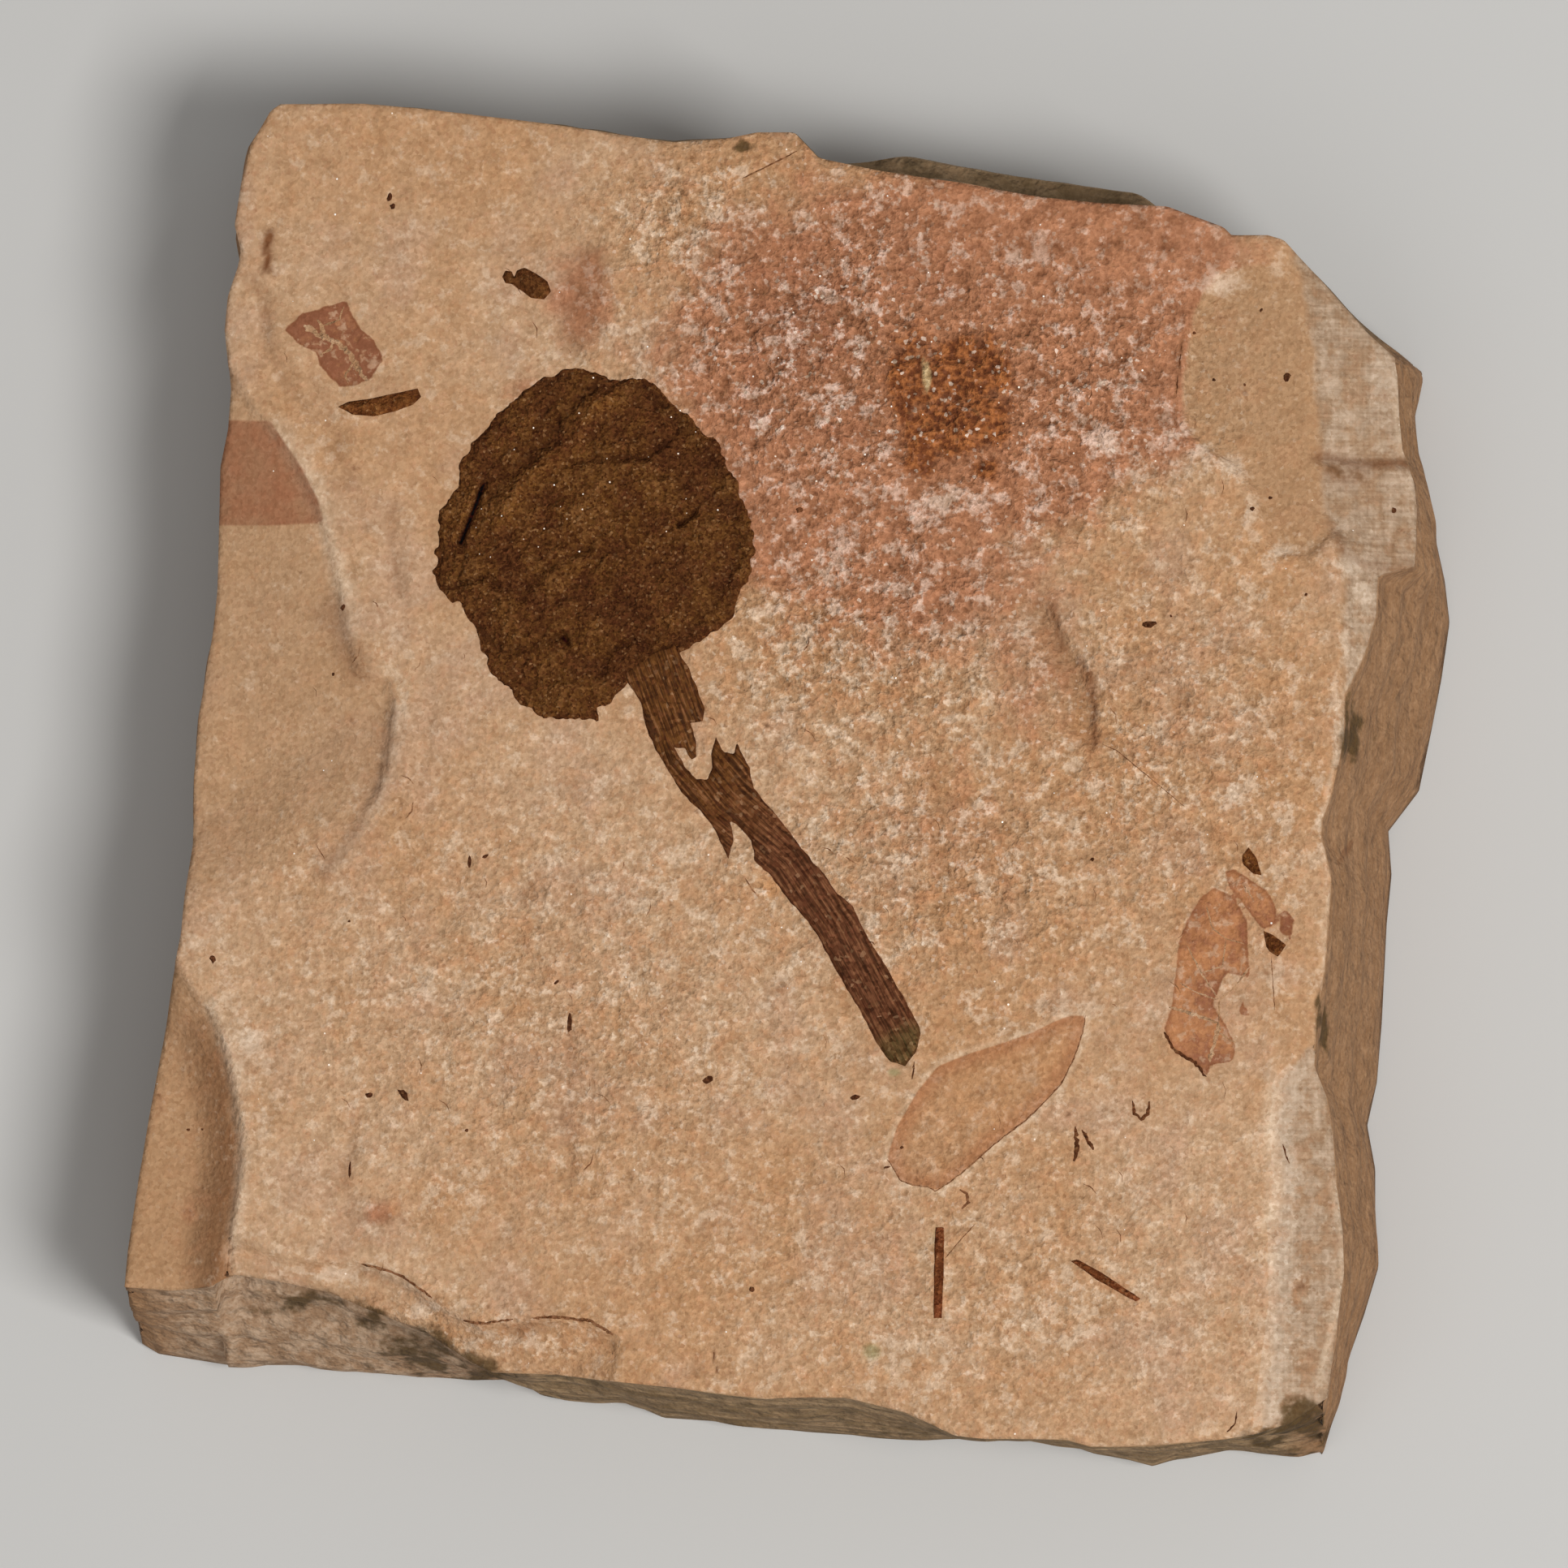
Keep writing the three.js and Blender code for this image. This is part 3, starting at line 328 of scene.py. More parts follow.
# Fine dark lines and dashes of film, and fainter hairlines: half width in mm, then the line
DARK_LINES = [
    (0.13, [(21.5, -19.6), (21.6, -20.3), (22.0, -20.7), (22.4, -20.4), (22.5, -19.6)]),
    (0.16, [(18.0, -21.2), (18.1, -22.4), (17.9, -23.3)]),
    (0.12, [(18.4, -21.3), (19.1, -22.6)]),
    (0.07, [(8.05, -17.1), (7.95, -18.2)]),
    (0.06, [(27.9, -38.6), (27.8, -39.4), (27.3, -39.9)]),
    (0.06, [(30.7, -22.2), (30.9, -22.9), (31.1, -23.4)]),
    (0.05, BENCH_CREASE),
    (0.05, CHIP_CREASE),
    (0.12, SCRAP_SHADE),
]
HAIRLINES = [
    (0.03, [(19.6, 2.4), (20.5, 2.0), (24.7, -1.5)]),
    (0.03, [(30.0, -10.7), (30.2, -14.0)]),
    (0.035, [(-28.9, -3.6), (-28.3, -4.6)]),
    (0.04, [(3.8, -4.5), (4.4, -4.9)]),
    (0.05, [(-2.4, -5.8), (-1.65, -6.9)]),
    (0.035, [(11.85, -27.1), (10.9, -28.1), (10.0, -29.2)]),
    (0.05, [(-2.7, 37.4), (-1.3, 38.1), (0.7, 39.1)]),
    (0.12, [(10.9, -25.0), (11.3, -25.2), (11.4, -25.8), (11.0, -26.2)]),
    (0.05, WING_DARK_RIM),
    (0.07, [(-26.0, -29.5), (-24.4, -29.9), (-23.4, -30.3), (-21.6, -31.6)]),
    (0.08, [(-19.8, -33.0), (-18.5, -33.2), (-16.6, -32.9)]),
    (0.09, [(-15.4, -32.85), (-14.0, -32.8), (-11.9, -33.0), (-10.4, -33.9)]),
]
SALMON = [  # x, y, reach along x and y, strength
    (8.0, 27.0, 16, 11, 1.0), (19.0, 29.5, 11, 8, 1.0), (1.0, 18.5, 8, 7, 0.9),
    (-1.5, 25.0, 5, 8, 0.8), (22.0, 23.0, 6, 5, 0.8), (11.0, 20.5, 11, 6, 1.0),
    (8.0, 13.5, 13, 8, 0.55), (15.5, 7.0, 5, 7, 0.4), (10.0, -3.0, 9, 8, 0.35),
    (-12.5, 29.5, 2.0, 5, 0.5), (-16.5, 24.6, 2.5, 1.5, 0.4), (-33.0, 8.0, 4, 9, 0.15),
    (20.0, -3.0, 5, 5, 0.25), (31.0, 24.0, 3, 8, 0.25), (-24.3, -26.2, 1.6, 1.4, 0.5),
    (-15.0, -35.0, 5.0, 1.4, 0.15), (-36.5, -26.0, 2.0, 8.0, 0.3),
]
CRUMB = [  # where the face is crumbly
    (3.0, 26.0, 12, 12, 1.0), (14.0, 24.0, 12, 10, 1.0), (6.0, 10.0, 12, 12, 0.8),
    (8.0, -5.0, 14, 10, 0.65), (22.0, 2.0, 12, 14, 0.55), (-12.0, -14.0, 18, 14, 0.45),
    (12.0, -30.0, 25, 12, 0.35), (-6.0, 34.0, 5, 5, 0.7), (-19.0, -34.0, 9, 3, 0.45),
]
PLUM = [
    (1.0, 29.0, 5, 6, 1.0), (-1.5, 24.0, 3, 4, 0.8), (3.5, 22.5, 4, 3, 0.8), (9.0, 31.0, 5, 3, 0.7),
    (2.0, 17.5, 3, 3, 0.5), (14.0, 26.0, 3, 4, 0.4),
]
EMBER = [
    (11.2, 25.4, 2.7, 2.6, 1.2), (7.9, 25.0, 1.9, 3.0, 1.1), (9.6, 21.8, 3.0, 2.2, 1.1),
    (12.2, 22.6, 2.0, 2.4, 1.0), (8.6, 20.0, 1.4, 1.4, 1.0), (12.4, 19.6, 1.1, 0.8, 0.9),
]
PALE_FLECK = [(8.65, 25.3, 0.3, 1.3, 1.0)]
CHALK = [  # soft whitish bloom
    (26.9, 30.9, 1.9, 1.0, 0.9), (30.3, 31.3, 0.8, 0.8, 0.6), (24.2, 21.5, 1.3, 0.7, 0.9),
    (25.7, 20.5, 0.9, 0.7, 0.8), (27.5, 19.4, 0.9, 0.9, 0.9), (28.5, 16.8, 0.6, 1.3, 0.8),
    (30.6, 14.2, 1.7, 0.7, 1.0), (34.5, 13.3, 1.6, 0.9, 1.0), (35.7, 11.6, 0.8, 1.4, 1.0),
    (34.5, 8.8, 0.5, 1.8, 0.9), (34.0, 3.5, 0.3, 3.5, 0.7), (33.0, -2.4, 0.3, 2.8, 0.8),
    (9.8, 17.5, 2.2, 1.2, 0.9), (19.9, 21.0, 1.6, 1.2, 0.7), (5.9, 20.8, 1.0, 1.0, 0.6),
    (3.9, 23.7, 1.6, 0.7, 0.6), (-4.6, 31.2, 1.8, 2.2, 0.6), (2.0, 14.0, 3.0, 1.2, 0.5),
    (14.4, 32.4, 1.8, 1.0, 0.6), (12.0, 29.0, 1.0, 0.8, 0.5), (27.7, -0.6, 0.5, 1.1, 1.0),
    (22.0, 0.3, 0.8, 0.7, 0.5), (-33.0, -15.6, 0.9, 1.3, 1.0), (-32.8, -18.0, 0.6, 1.0, 0.7),
    (-36.4, -9.8, 1.2, 0.7, 0.6), (-32.1, -20.8, 0.7, 1.6, 0.6), (-27.9, -13.5, 0.25, 0.8, 0.8),
    (-22.4, -12.0, 0.8, 1.2, 0.6), (-25.0, 8.3, 1.0, 1.0, 0.6), (-23.4, 5.4, 0.5, 1.5, 0.6),
    (14.0, 1.5, 1.0, 1.0, 0.6), (0.5, 8.5, 3.0, 2.0, 0.4), (17.5, -14.0, 1.5, 0.8, 0.5),
    (-3.7, 34.8, 1.5, 0.8, 0.5), (13.5, -4.8, 2.0, 1.0, 0.4), (-8.0, -6.0, 3.0, 2.0, 0.4),
    (31.0, -2.8, 0.6, 1.5, 0.6), (30.4, -12.5, 0.8, 2.5, 0.5), (-20.5, -24.5, 1.5, 1.0, 0.6),
    (7.5, -35.5, 3.0, 2.0, 0.4), (-5.0, -27.0, 3.0, 2.0, 0.3), (16.0, -33.0, 4.0, 2.0, 0.4),
    (-28.0, -30.1, 4.0, 0.6, 0.9),
    (-17.0, -34.4, 3.5, 0.8, 0.6), (-22.0, -32.2, 1.5, 0.5, 0.8),
]
SHADE_AND_DIRT_FADE, ARRIS_FADE = 30.0, 0.9  # how far each reaches down the sides
LIT_FACET = [(36.8, 24.8, 1.2, 3.4, 0.5), (36.8, 16.4, 1.6, 1.6, 0.3)]
ORANGE = [
    (-1.0, -6.4, 1.0, 1.0, 0.9), (3.0, -3.6, 0.5, 0.4, 0.5), (-13.2, -18.3, 0.6, 0.5, 0.5),
    (-24.0, -26.0, 0.6, 0.9, 0.6), (-22.5, -24.8, 0.8, 0.5, 0.5), (15.8, 8.6, 1.2, 1.6, 0.5),
    (18.2, 4.0, 1.0, 2.0, 0.6), (39.5, 8.2, 0.5, 0.5, 0.8),
]
GREEN = [
    (5.4, -34.9, 0.7, 0.6, 0.9), (6.7, -30.3, 0.8, 0.4, 0.4), (6.8, -17.8, 0.5, 0.35, 1.0),
    (6.4, -36.2, 0.5, 0.9, 0.4), (5.6, -17.7, 0.3, 0.3, 0.5), (-13.3, -17.8, 0.3, 0.7, 0.4),
    (9.5, -27.9, 0.5, 1.2, 0.5), (-30.0, -16.5, 2.0, 3.0, 0.25), (-27.5, -22.5, 3.0, 2.0, 0.25),
]
# Dark patches, mostly painted shade in recesses and under overhangs, the rest real dirt: x, y, reach along x
# and y, strength
SHADE_AND_DIRT = [
    (32.2, -39.0, 1.6, 1.3, 1.0), (29.8, -40.4, 1.8, 0.7, 0.9), (33.2, -14.6, 0.6, 2.2, 0.9),
    (-25.5, -32.7, 1.0, 0.6, 1.0), (-30.5, -31.6, 4.5, 0.6, 0.7), (-2.6, 39.4, 0.8, 0.4, 0.9),
    (35.2, 3.1, 1.0, 2.2, 0.8), (-20.0, -36.0, 4.0, 0.7, 0.6), (7.0, -39.6, 2.5, 0.6, 0.6),
    (34.6, 19.0, 1.4, 0.8, 0.4), (-23.0, -34.6, 3.5, 1.5, 0.9), (-19.5, -36.0, 2.5, 1.0, 1.0),
    (-15.5, -36.9, 3.0, 0.5, 0.5),
]
# Arrises that catch the light: reach in mm, then the line
ARRISES = [
    (1.1, WEST_SCARP[2:8]),
    (0.8, WEST_SCARP[10:14] + WEST_SCARP[15:]),
    (0.7, CORNER_SCARP[2:6] + CORNER_SCARP[7:9]),
    (0.7, [(30.2, -18.2), (29.9, -21.7), (30.1, -24.6), (29.8, -27.0)]),
    (0.35, [(37.7, 25.6), (37.6, 22.9), (37.9, 20.6)]),
    (0.4, [(32.9, -37.0), (33.9, -33.0), (34.3, -30.0), (34.2, -27.4), (33.8, -24.6)]),
    (0.25, [(33.2, -11.6), (33.5, -5.9), (33.0, -2.4), (34.3, 2.8), (34.3, 5.4), (35.5, 8.0)]),
    (0.35, [(-26.0, -29.6), (-23.4, -30.6), (-20.9, -32.5), (-18.5, -33.5)]),
    (0.3, [(-33.95, -29.2), (-32.95, -30.3)]),
]
# Coal flecks lying on the face: x, y, length, width, turn in degrees
FLECKS = [
    (-24.5, 36.4, 0.6, 0.35, 80), (-24.3, 35.8, 0.4, 0.4, 0), (-27.9, 6.9, 0.25, 0.25, 0),
    (0.9, 16.9, 0.5, 0.4, 0), (22.5, 9.8, 1.0, 0.5, 0), (30.9, 25.1, 0.7, 0.5, 90),
    (25.2, 27.8, 0.25, 0.25, 0),
    (29.3, 29.2, 0.35, 0.2, 60), (28.3, 24.6, 0.22, 0.22, 0), (26.4, 24.9, 0.25, 0.25, 0),
    (-13.2, -14.7, 1.6, 0.35, 90), (-25.5, -19.1, 0.6, 0.4, 0), (-23.4, -19.1, 1.0, 0.5, -50),
    (-26.7, -23.7, 1.3, 0.2, 90), (-4.6, -18.2, 0.8, 0.5, 20), (-35.2, -10.7, 0.65, 0.45, 100),
    (-14.0, -12.2, 0.5, 0.2, 40), (-19.5, -21.3, 0.25, 0.25, 0), (-1.9, -31.1, 0.4, 0.35, 0),
    (-19.4, -4.7, 0.9, 0.3, 90), (-18.4, -4.4, 0.5, 0.25, 30), (37.4, 17.0, 0.35, 0.4, 0),
    (4.4, -19.3, 0.7, 0.35, 10), (-36.9, -21.1, 0.25, 0.2, 0), (-36.0, -21.1, 0.2, 0.18, 0),
    (-26.8, -8.4, 0.2, 0.2, 0), (7.3, -22.4, 0.25, 0.25, 0), (6.4, -23.6, 0.5, 0.15, 10),
    (28.8, 16.9, 0.3, 0.3, 0), (29.9, 17.6, 0.3, 0.25, 0), (-27.3, 11.0, 0.45, 0.4, 30),
    (19.0, -4.7, 0.35, 0.25, 0), (23.8, 10.3, 0.2, 0.2, 0), (32.1, 11.6, 0.3, 0.2, 60),
]
# Thicker chips of leaf film beside the eastern scrap
LEAF_CHIPS = [
    [(28.6, -4.0), (28.2, -4.5), (28.25, -5.0), (28.9, -5.6), (29.4, -5.7), (29.1, -4.7)],
    [(29.5, -9.1), (30.1, -9.4), (30.9, -10.0), (30.4, -10.7), (29.9, -10.4), (29.7, -10.1)],
]


# Plane geometry on whole arrays of points

def mix(a, b, t):
    return a + (b - a) * t


def smooth(t):
    t = np.clip(t, 0.0, 1.0)
    return t * t * (3.0 - 2.0 * t)


def bell(t):
    return np.exp(-t * t)


def along(line, t):
    """Places on a line, from 0 at its start to 1 at its end."""
    line = np.array(line)
    run = np.concatenate([[0.0], np.cumsum(np.hypot(*np.diff(line, axis=0).T))])
    return np.stack([np.interp(t * run[-1], run, line[:, k]) for k in (0, 1)], axis=-1)


def distance_to(line, x, y):
    nearest = np.full(np.shape(x), np.inf)
    for (ax, ay), (bx, by) in zip(line, line[1:]):
        dx, dy = bx - ax, by - ay
        t = np.clip(((x - ax) * dx + (y - ay) * dy) / (dx * dx + dy * dy), 0.0, 1.0)
        nearest = np.minimum(nearest, np.hypot(x - ax - dx * t, y - ay - dy * t))
    return nearest


def beside(lines, x, y):
    """How much each line tells at a point; a line has a strength, a reach and its own points."""
    return [strength * bell(distance_to(line, x, y) / reach) for strength, reach, line in lines]


def inside(outline, x, y):
    within = np.zeros(np.shape(x), bool)
    for (ax, ay), (bx, by) in zip(outline, outline[1:] + outline[:1]):
        if ay != by:
            within ^= ((ay > y) != (by > y)) & (x < ax + (bx - ax) * (y - ay) / (by - ay))
    return within


def depth_in(outline, x, y):
    """How far a point lies inside an outline, less than nothing outside it."""
    away = distance_to(outline + outline[:1], x, y)
    return np.where(inside(outline, x, y), away, -away)


def past(brink, x, y, far):
    """How far a point lies past a brink, on the side that far shows."""
    beyond = [(bx + far[0], by + far[1]) for bx, by in (brink[-1], brink[0])]
    return np.where(inside(brink + beyond, x, y), distance_to(brink, x, y), 0.0)


def blobs(spots, x, y):
    """Soft patches, each given by its middle, its reach along x and y, and its strength."""
    total = np.zeros(np.shape(x))
    for bx, by, rx, ry, strength in spots:
        total = np.maximum(total, strength * bell((x - bx) / rx) * bell((y - by) / ry))
    return total


def ripple(x, y, wavelength, seed):
    """Smooth noise between -1 and 1 with bumps about one wavelength across."""
    grid = np.random.default_rng(seed).uniform(-1.0, 1.0, (NOISE_CELLS, NOISE_CELLS))
    u, v = x / wavelength + NOISE_START, y / wavelength + NOISE_START
    i, j = np.floor(u).astype(int), np.floor(v).astype(int)
    fu, fv = smooth(u - i), smooth(v - j)
    corner = [[grid[(i + a) % NOISE_CELLS, (j + b) % NOISE_CELLS] for b in (0, 1)] for a in (0, 1)]
    return mix(mix(corner[0][0], corner[1][0], fu), mix(corner[0][1], corner[1][1], fu), fv)


def rough(x, y, wavelength, seed, octaves=3):
    """Ripples on ripples, each half as long and half as high as the last."""
    return sum(ripple(x, y, wavelength / 2**k, seed + k) / 2**k for k in range(octaves)) / 1.75


# Relief of the split face

def stepped(away, step):
    depth, width = step
    return depth * smooth(away / width)


def scoop_drop(scarp, beyond, steps, x, y, fade=None):
    """A hollow beside a scarp, which falls in smooth steps and may fade in from its far end."""
    out = distance_to(scarp, x, y)
    drop = sum(stepped(out, step) for step in steps)
    if fade:
        drop = drop * smooth(distance_to([scarp[-1]] + beyond[:2], x, y) / fade)
    return np.where(inside(scarp + beyond, x, y), drop, 0.0)


def chip_drop(x, y):
    lip = stepped(distance_to(CHIP + CHIP[:1], x, y), CHIP_LIP)
    slope = FACET_FALL * past(FACET_BRINK, x, y, FAR_EAST)
    off_groove = np.abs(y - CHIP_GROOVE["north"]) / CHIP_GROOVE["half"]
    groove = CHIP_GROOVE["depth"] * (1.0 - np.clip(off_groove, 0.0, 1.0))
    return np.where(inside(CHIP, x, y), lip + slope + np.where(slope > 0.0, groove, 0.0), 0.0)


def face_height(x, y):
    bevels = EAST_FALL * past(EAST_BRINK, x, y, FAR_EAST) + CORNER_FALL * past(CORNER_BRINK, x, y, FAR_EAST)
    bench = past(BENCH_BRINK, x, y, FAR_SOUTH)
    arc = past(ARC_LINE, x, y, FAR_WEST)
    return (
        SLAB_HEIGHT
        - scoop_drop(WEST_SCARP, WEST_BEYOND, WEST_STEPS, x, y, WEST_FADE)
        - scoop_drop(CORNER_SCARP, CORNER_BEYOND, CORNER_STEPS, x, y)
        - np.maximum(chip_drop(x, y), bevels)
        - stepped(bench, BENCH_STEP) - BENCH_FALL * bench
        - stepped(arc, ARC_STEP) * (1.0 - smooth(arc / ARC_REACH))
    )


def on_bench(x, y):
    """1 on the bench, 0 on the face above it."""
    return stepped(past(BENCH_BRINK, x, y, FAR_SOUTH), (1.0, BENCH_STEP[1]))


def freshness(x, y):
    """1 where the face broke clean and smooth: scoops, chip and bevels."""
    return smooth((SLAB_HEIGHT - face_height(x, y)) / 0.4) * (1.0 - 0.8 * on_bench(x, y))


def grain_height(x, y):
    """The fine roughness of the bedding surface, calmer where it broke clean."""
    calm = 1.0 - 0.75 * freshness(x, y)
    crumb = crumbliness(x, y)
    slow = 0.14 * rough(x, y, 9.0, 11) + 0.18 * rough(x, y, 3.2, 21) * (0.45 + crumb)
    slow = slow + 0.09 * rough(x * 1.1, y * 0.16, 2.2, 41) * smooth((-16.0 - x) / 6.0)
    pits = 0.24 * rough(x, y, 1.2, 31, 2) * (0.12 + crumb)
    terraces = 0.25 * (0.5 - tread_place(x, y)) * on_bench(x, y)
    cuts = GROOVES + [(1.3 * half, 0.15 + 1.5 * half, line) for half, line in CREASES]
    fresh = (1.0 - calm) * 0.06 * rough(x, y, 5.0, 51)
    return calm * (slow + pits) + fresh + terraces - sum(beside(cuts, x, y))


def tread_place(x, y):
    """Where a point lies between one broken bed of the bench and the next, from 0 to 1."""
    tread = past(BENCH_BRINK, x, y, FAR_SOUTH) / 1.1 + rough(x, y, 3.0, 171) + 0.4 * rough(x, y, 1.0, 181)
    step = tread - np.floor(tread)
    return np.where(step < 0.75, step / 0.75, (1.0 - step) / 0.25)


def crumbliness(x, y):
    wx, wy = x + 2.0 * rough(x, y, 4.0, 141), y + 2.0 * rough(x, y, 4.0, 151)
    return np.clip(0.08 + blobs(CRUMB, wx, wy), 0.0, 1.0)


def salmon_share(x, y):
    wx, wy = x + 1.6 * rough(x, y, 5.0, 81), y + 1.6 * rough(x, y, 5.0, 91)
    return smooth((blobs(SALMON, wx, wy) - 0.15) / 0.5)


def surface(x, y):
    return face_height(x, y) + grain_height(x, y)


# Meshes

def make_piece(name, points, faces, attributes=None):
    """A mesh piece at the origin from points in mm, with number attributes on its points."""
    mesh = bpy.data.meshes.new(name)
    place = np.asarray(points, float).copy()
    place[:, :2] -= SLAB_MIDDLE
    place[:, 2] = np.minimum(place[:, 2], cad_box[1][2] / MM - HEADROOM)
    mesh.from_pydata((place * MM).tolist(), [], faces)
    for key, values in (attributes or {}).items():
        layer = mesh.attributes.new(key, "FLOAT", "POINT")
        layer.data.foreach_set("value", np.asarray(values, np.float32))
    mesh.polygons.foreach_set("use_smooth", np.ones(len(mesh.polygons), bool))
    mesh.update()
    piece = bpy.data.objects.new(name, mesh)
    bpy.context.scene.collection.objects.link(piece)
    return piece


def face_grid(n):
    """Points of the split face, row by row from the south-west corner."""
    t = np.linspace(0.0, 1.0, n + 1)
    south, north = along(SOUTH_EDGE, t)[None], along(NORTH_EDGE, t)[None]
    west, east = along(WEST_EDGE, t)[:, None], along(EAST_EDGE, t)[:, None]
    u, v = t[None, :, None], t[:, None, None]
    sw, se = np.array(SOUTH_EDGE[0]), np.array(SOUTH_EDGE[-1])
    nw, ne = np.array(NORTH_EDGE[0]), np.array(NORTH_EDGE[-1])
    bent = mix(mix(sw, se, u), mix(nw, ne, u), v)
    return mix(south, north, v) + mix(west, east, u) - bent


def rim_order(n):
    """Grid places round the rim, anticlockwise, with the foot below each and the way out."""
    t = np.arange(n) / n
    row = n + 1
    places = np.concatenate([
        np.arange(n), n + np.arange(n) * row, n * row + np.arange(n, 0, -1), np.arange(n, 0, -1) * row
    ])
    foot = np.concatenate([
        along(SOUTH_FOOT, t), along(EAST_FOOT, t), along(NORTH_FOOT, 1.0 - t), along(WEST_FOOT, 1.0 - t)
    ])
    out = np.repeat([(0.0, -1.0), (1.0, 0.0), (0.0, 1.0), (-1.0, 0.0)], n, axis=0)
    return places, foot, out


def side_row(top, foot, rim, out, share):
    """One level of the sides, a share of the height up from the foot."""
    shares, prouds = zip(*BEDS[::-1])
    down = 1.0 - share
    reach = np.full(len(top), np.interp(share, shares, prouds))
    behind, before = out[:, 1] > 0.0, out[:, 1] < 0.0
    ledge = smooth((top[:, 0] - LEDGE["from"]) / LEDGE["rise"])
    ledge = ledge * smooth((LEDGE["to"] - top[:, 0]) / LEDGE["fall"])
    low, high = LEDGE["share"]
    shelf = smooth((share - low + 0.04) / 0.06) * smooth((high + 0.02 - share) / 0.06)
    reach = reach + np.where(behind, LEDGE["reach"] * ledge * shelf, 0.0)
    over = before & (top[:, 0] > OVERHANG["from"]) & (top[:, 0] < OVERHANG["to"])
    low, high = OVERHANG["share"]
    to_foot = np.where(over, np.clip((low - share) / OVERHANG["run"], 0.0, 1.0), down)
    reach = reach - np.where(over & (share > low) & (share < high), OVERHANG["depth"], 0.0)
    phase = (top[:, 0] + top[:, 1]) / SIDE_WAVE["length"] + share * SIDE_WAVE["lean"]
    reach = reach + SIDE_WAVE["height"] * np.sin(phase) * down * (share > 0.0)
    run = np.arange(len(top)) * LAMINAE["stride"]
    level = np.full(len(top), share * SLAB_HEIGHT)
    proud = np.where(out[:, 0] > 0.0, LAMINAE["east"], LAMINAE["elsewhere"])
    laminae = proud * rough(run * 0.12, level * 1.3, 1.0, 61) + LAMINAE["warp"] * rough(run, level, 5.0, 71)
    reach = reach + laminae * smooth(down * 20.0) * smooth(share * 12.0)
    flat = top + (foot - top) * to_foot[:, None] + out * reach[:, None]
    return np.column_stack([flat, rim * share])


def slab_mesh():
    n = FACE_STEPS
    flat = face_grid(n).reshape(-1, 2)
    x, y = flat.T
    edges = (SOUTH_EDGE, EAST_EDGE, NORTH_EDGE, WEST_EDGE)
    edge = np.minimum.reduce([distance_to(line, x, y) for line in edges])
    z = surface(x, y) - FIRST_BEND["height"] * (1.0 - smooth(edge / FIRST_BEND["width"]))
    points = [np.column_stack([flat, z])]
    row = n + 1
    corner = (np.arange(n)[:, None] * row + np.arange(n)).ravel()
    faces = [np.column_stack([corner, corner + 1, corner + row + 1, corner + row])]
    places, foot, out = rim_order(n)
    top, rim = flat[places], z[places]
    above, count = places, len(flat)
    ring = len(places)
    for step in range(1, SIDE_STEPS + 1):
        share = 1.0 - (step / SIDE_STEPS) ** SIDE_CROWDING
        points.append(side_row(top, foot, rim, out, share))
        below = count + np.arange(ring)
        faces.append(np.column_stack([above, below, np.roll(below, -1), np.roll(above, -1)]))
        above, count = below, count + ring
    points.append([[0.0, 0.0, 0.0]])
    faces = np.concatenate(faces).tolist()
    faces += [[count, int(b), int(a)] for a, b in zip(above, np.roll(above, -1))]
    points = np.concatenate(points)
    side = np.ones(len(points))
    side[: len(flat)] = 0.0
    gloom = np.zeros(len(points))
    t = np.arange(n) / n
    ends = np.minimum(t, 1.0 - t)
    thin_beds = np.abs(out[:, 1]) * smooth(np.tile(ends, 4) / 0.05)
    gloom[len(flat):-1] = np.tile(thin_beds, SIDE_STEPS)
    return points, faces, side, gloom


def keep_in_box(points, node):
    """Holds every point inside the sides and foot of the solid that the piece stands for."""
    low, high = (np.array(corner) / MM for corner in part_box(node))
    high[2] = cad_box[1][2] / MM
    middle = np.array([*SLAB_MIDDLE, 0.0])
    return np.clip(points, low + middle, high + middle)


def facet_share(x, y):
    """1 on the pale facets and bevels of the east."""
    chip = past(FACET_BRINK, x, y, FAR_EAST) * inside(CHIP, x, y)
    bevels = [past(brink, x, y, FAR_EAST) for brink in (CORNER_BRINK, EAST_BRINK)]
    facets = np.maximum.reduce([chip, *bevels])
    return smooth((facets - 0.35 + 0.3 * rough(x, y, 1.4, 201)) / 0.5)


def corner_shade(x, y):
    """Painted shade on the wall of the south-west scoop, with some real brown in it."""
    out = distance_to(CORNER_SCARP, x, y)
    band = smooth(out / 0.3) * bell(np.maximum(out - 1.0, 0.0) / 1.7) * smooth((-12.0 - y) / 6.0)
    return np.where(inside(CORNER_SCARP + CORNER_BEYOND, x, y), band, 0.0)


def corner_light(x, y):
    """The lit brink of the south-east bevel."""
    corner = past(CORNER_BRINK, x, y, FAR_EAST)
    return smooth(corner / 0.25) * bell(corner / 1.6) * smooth((-16.5 - y) / 2.0)


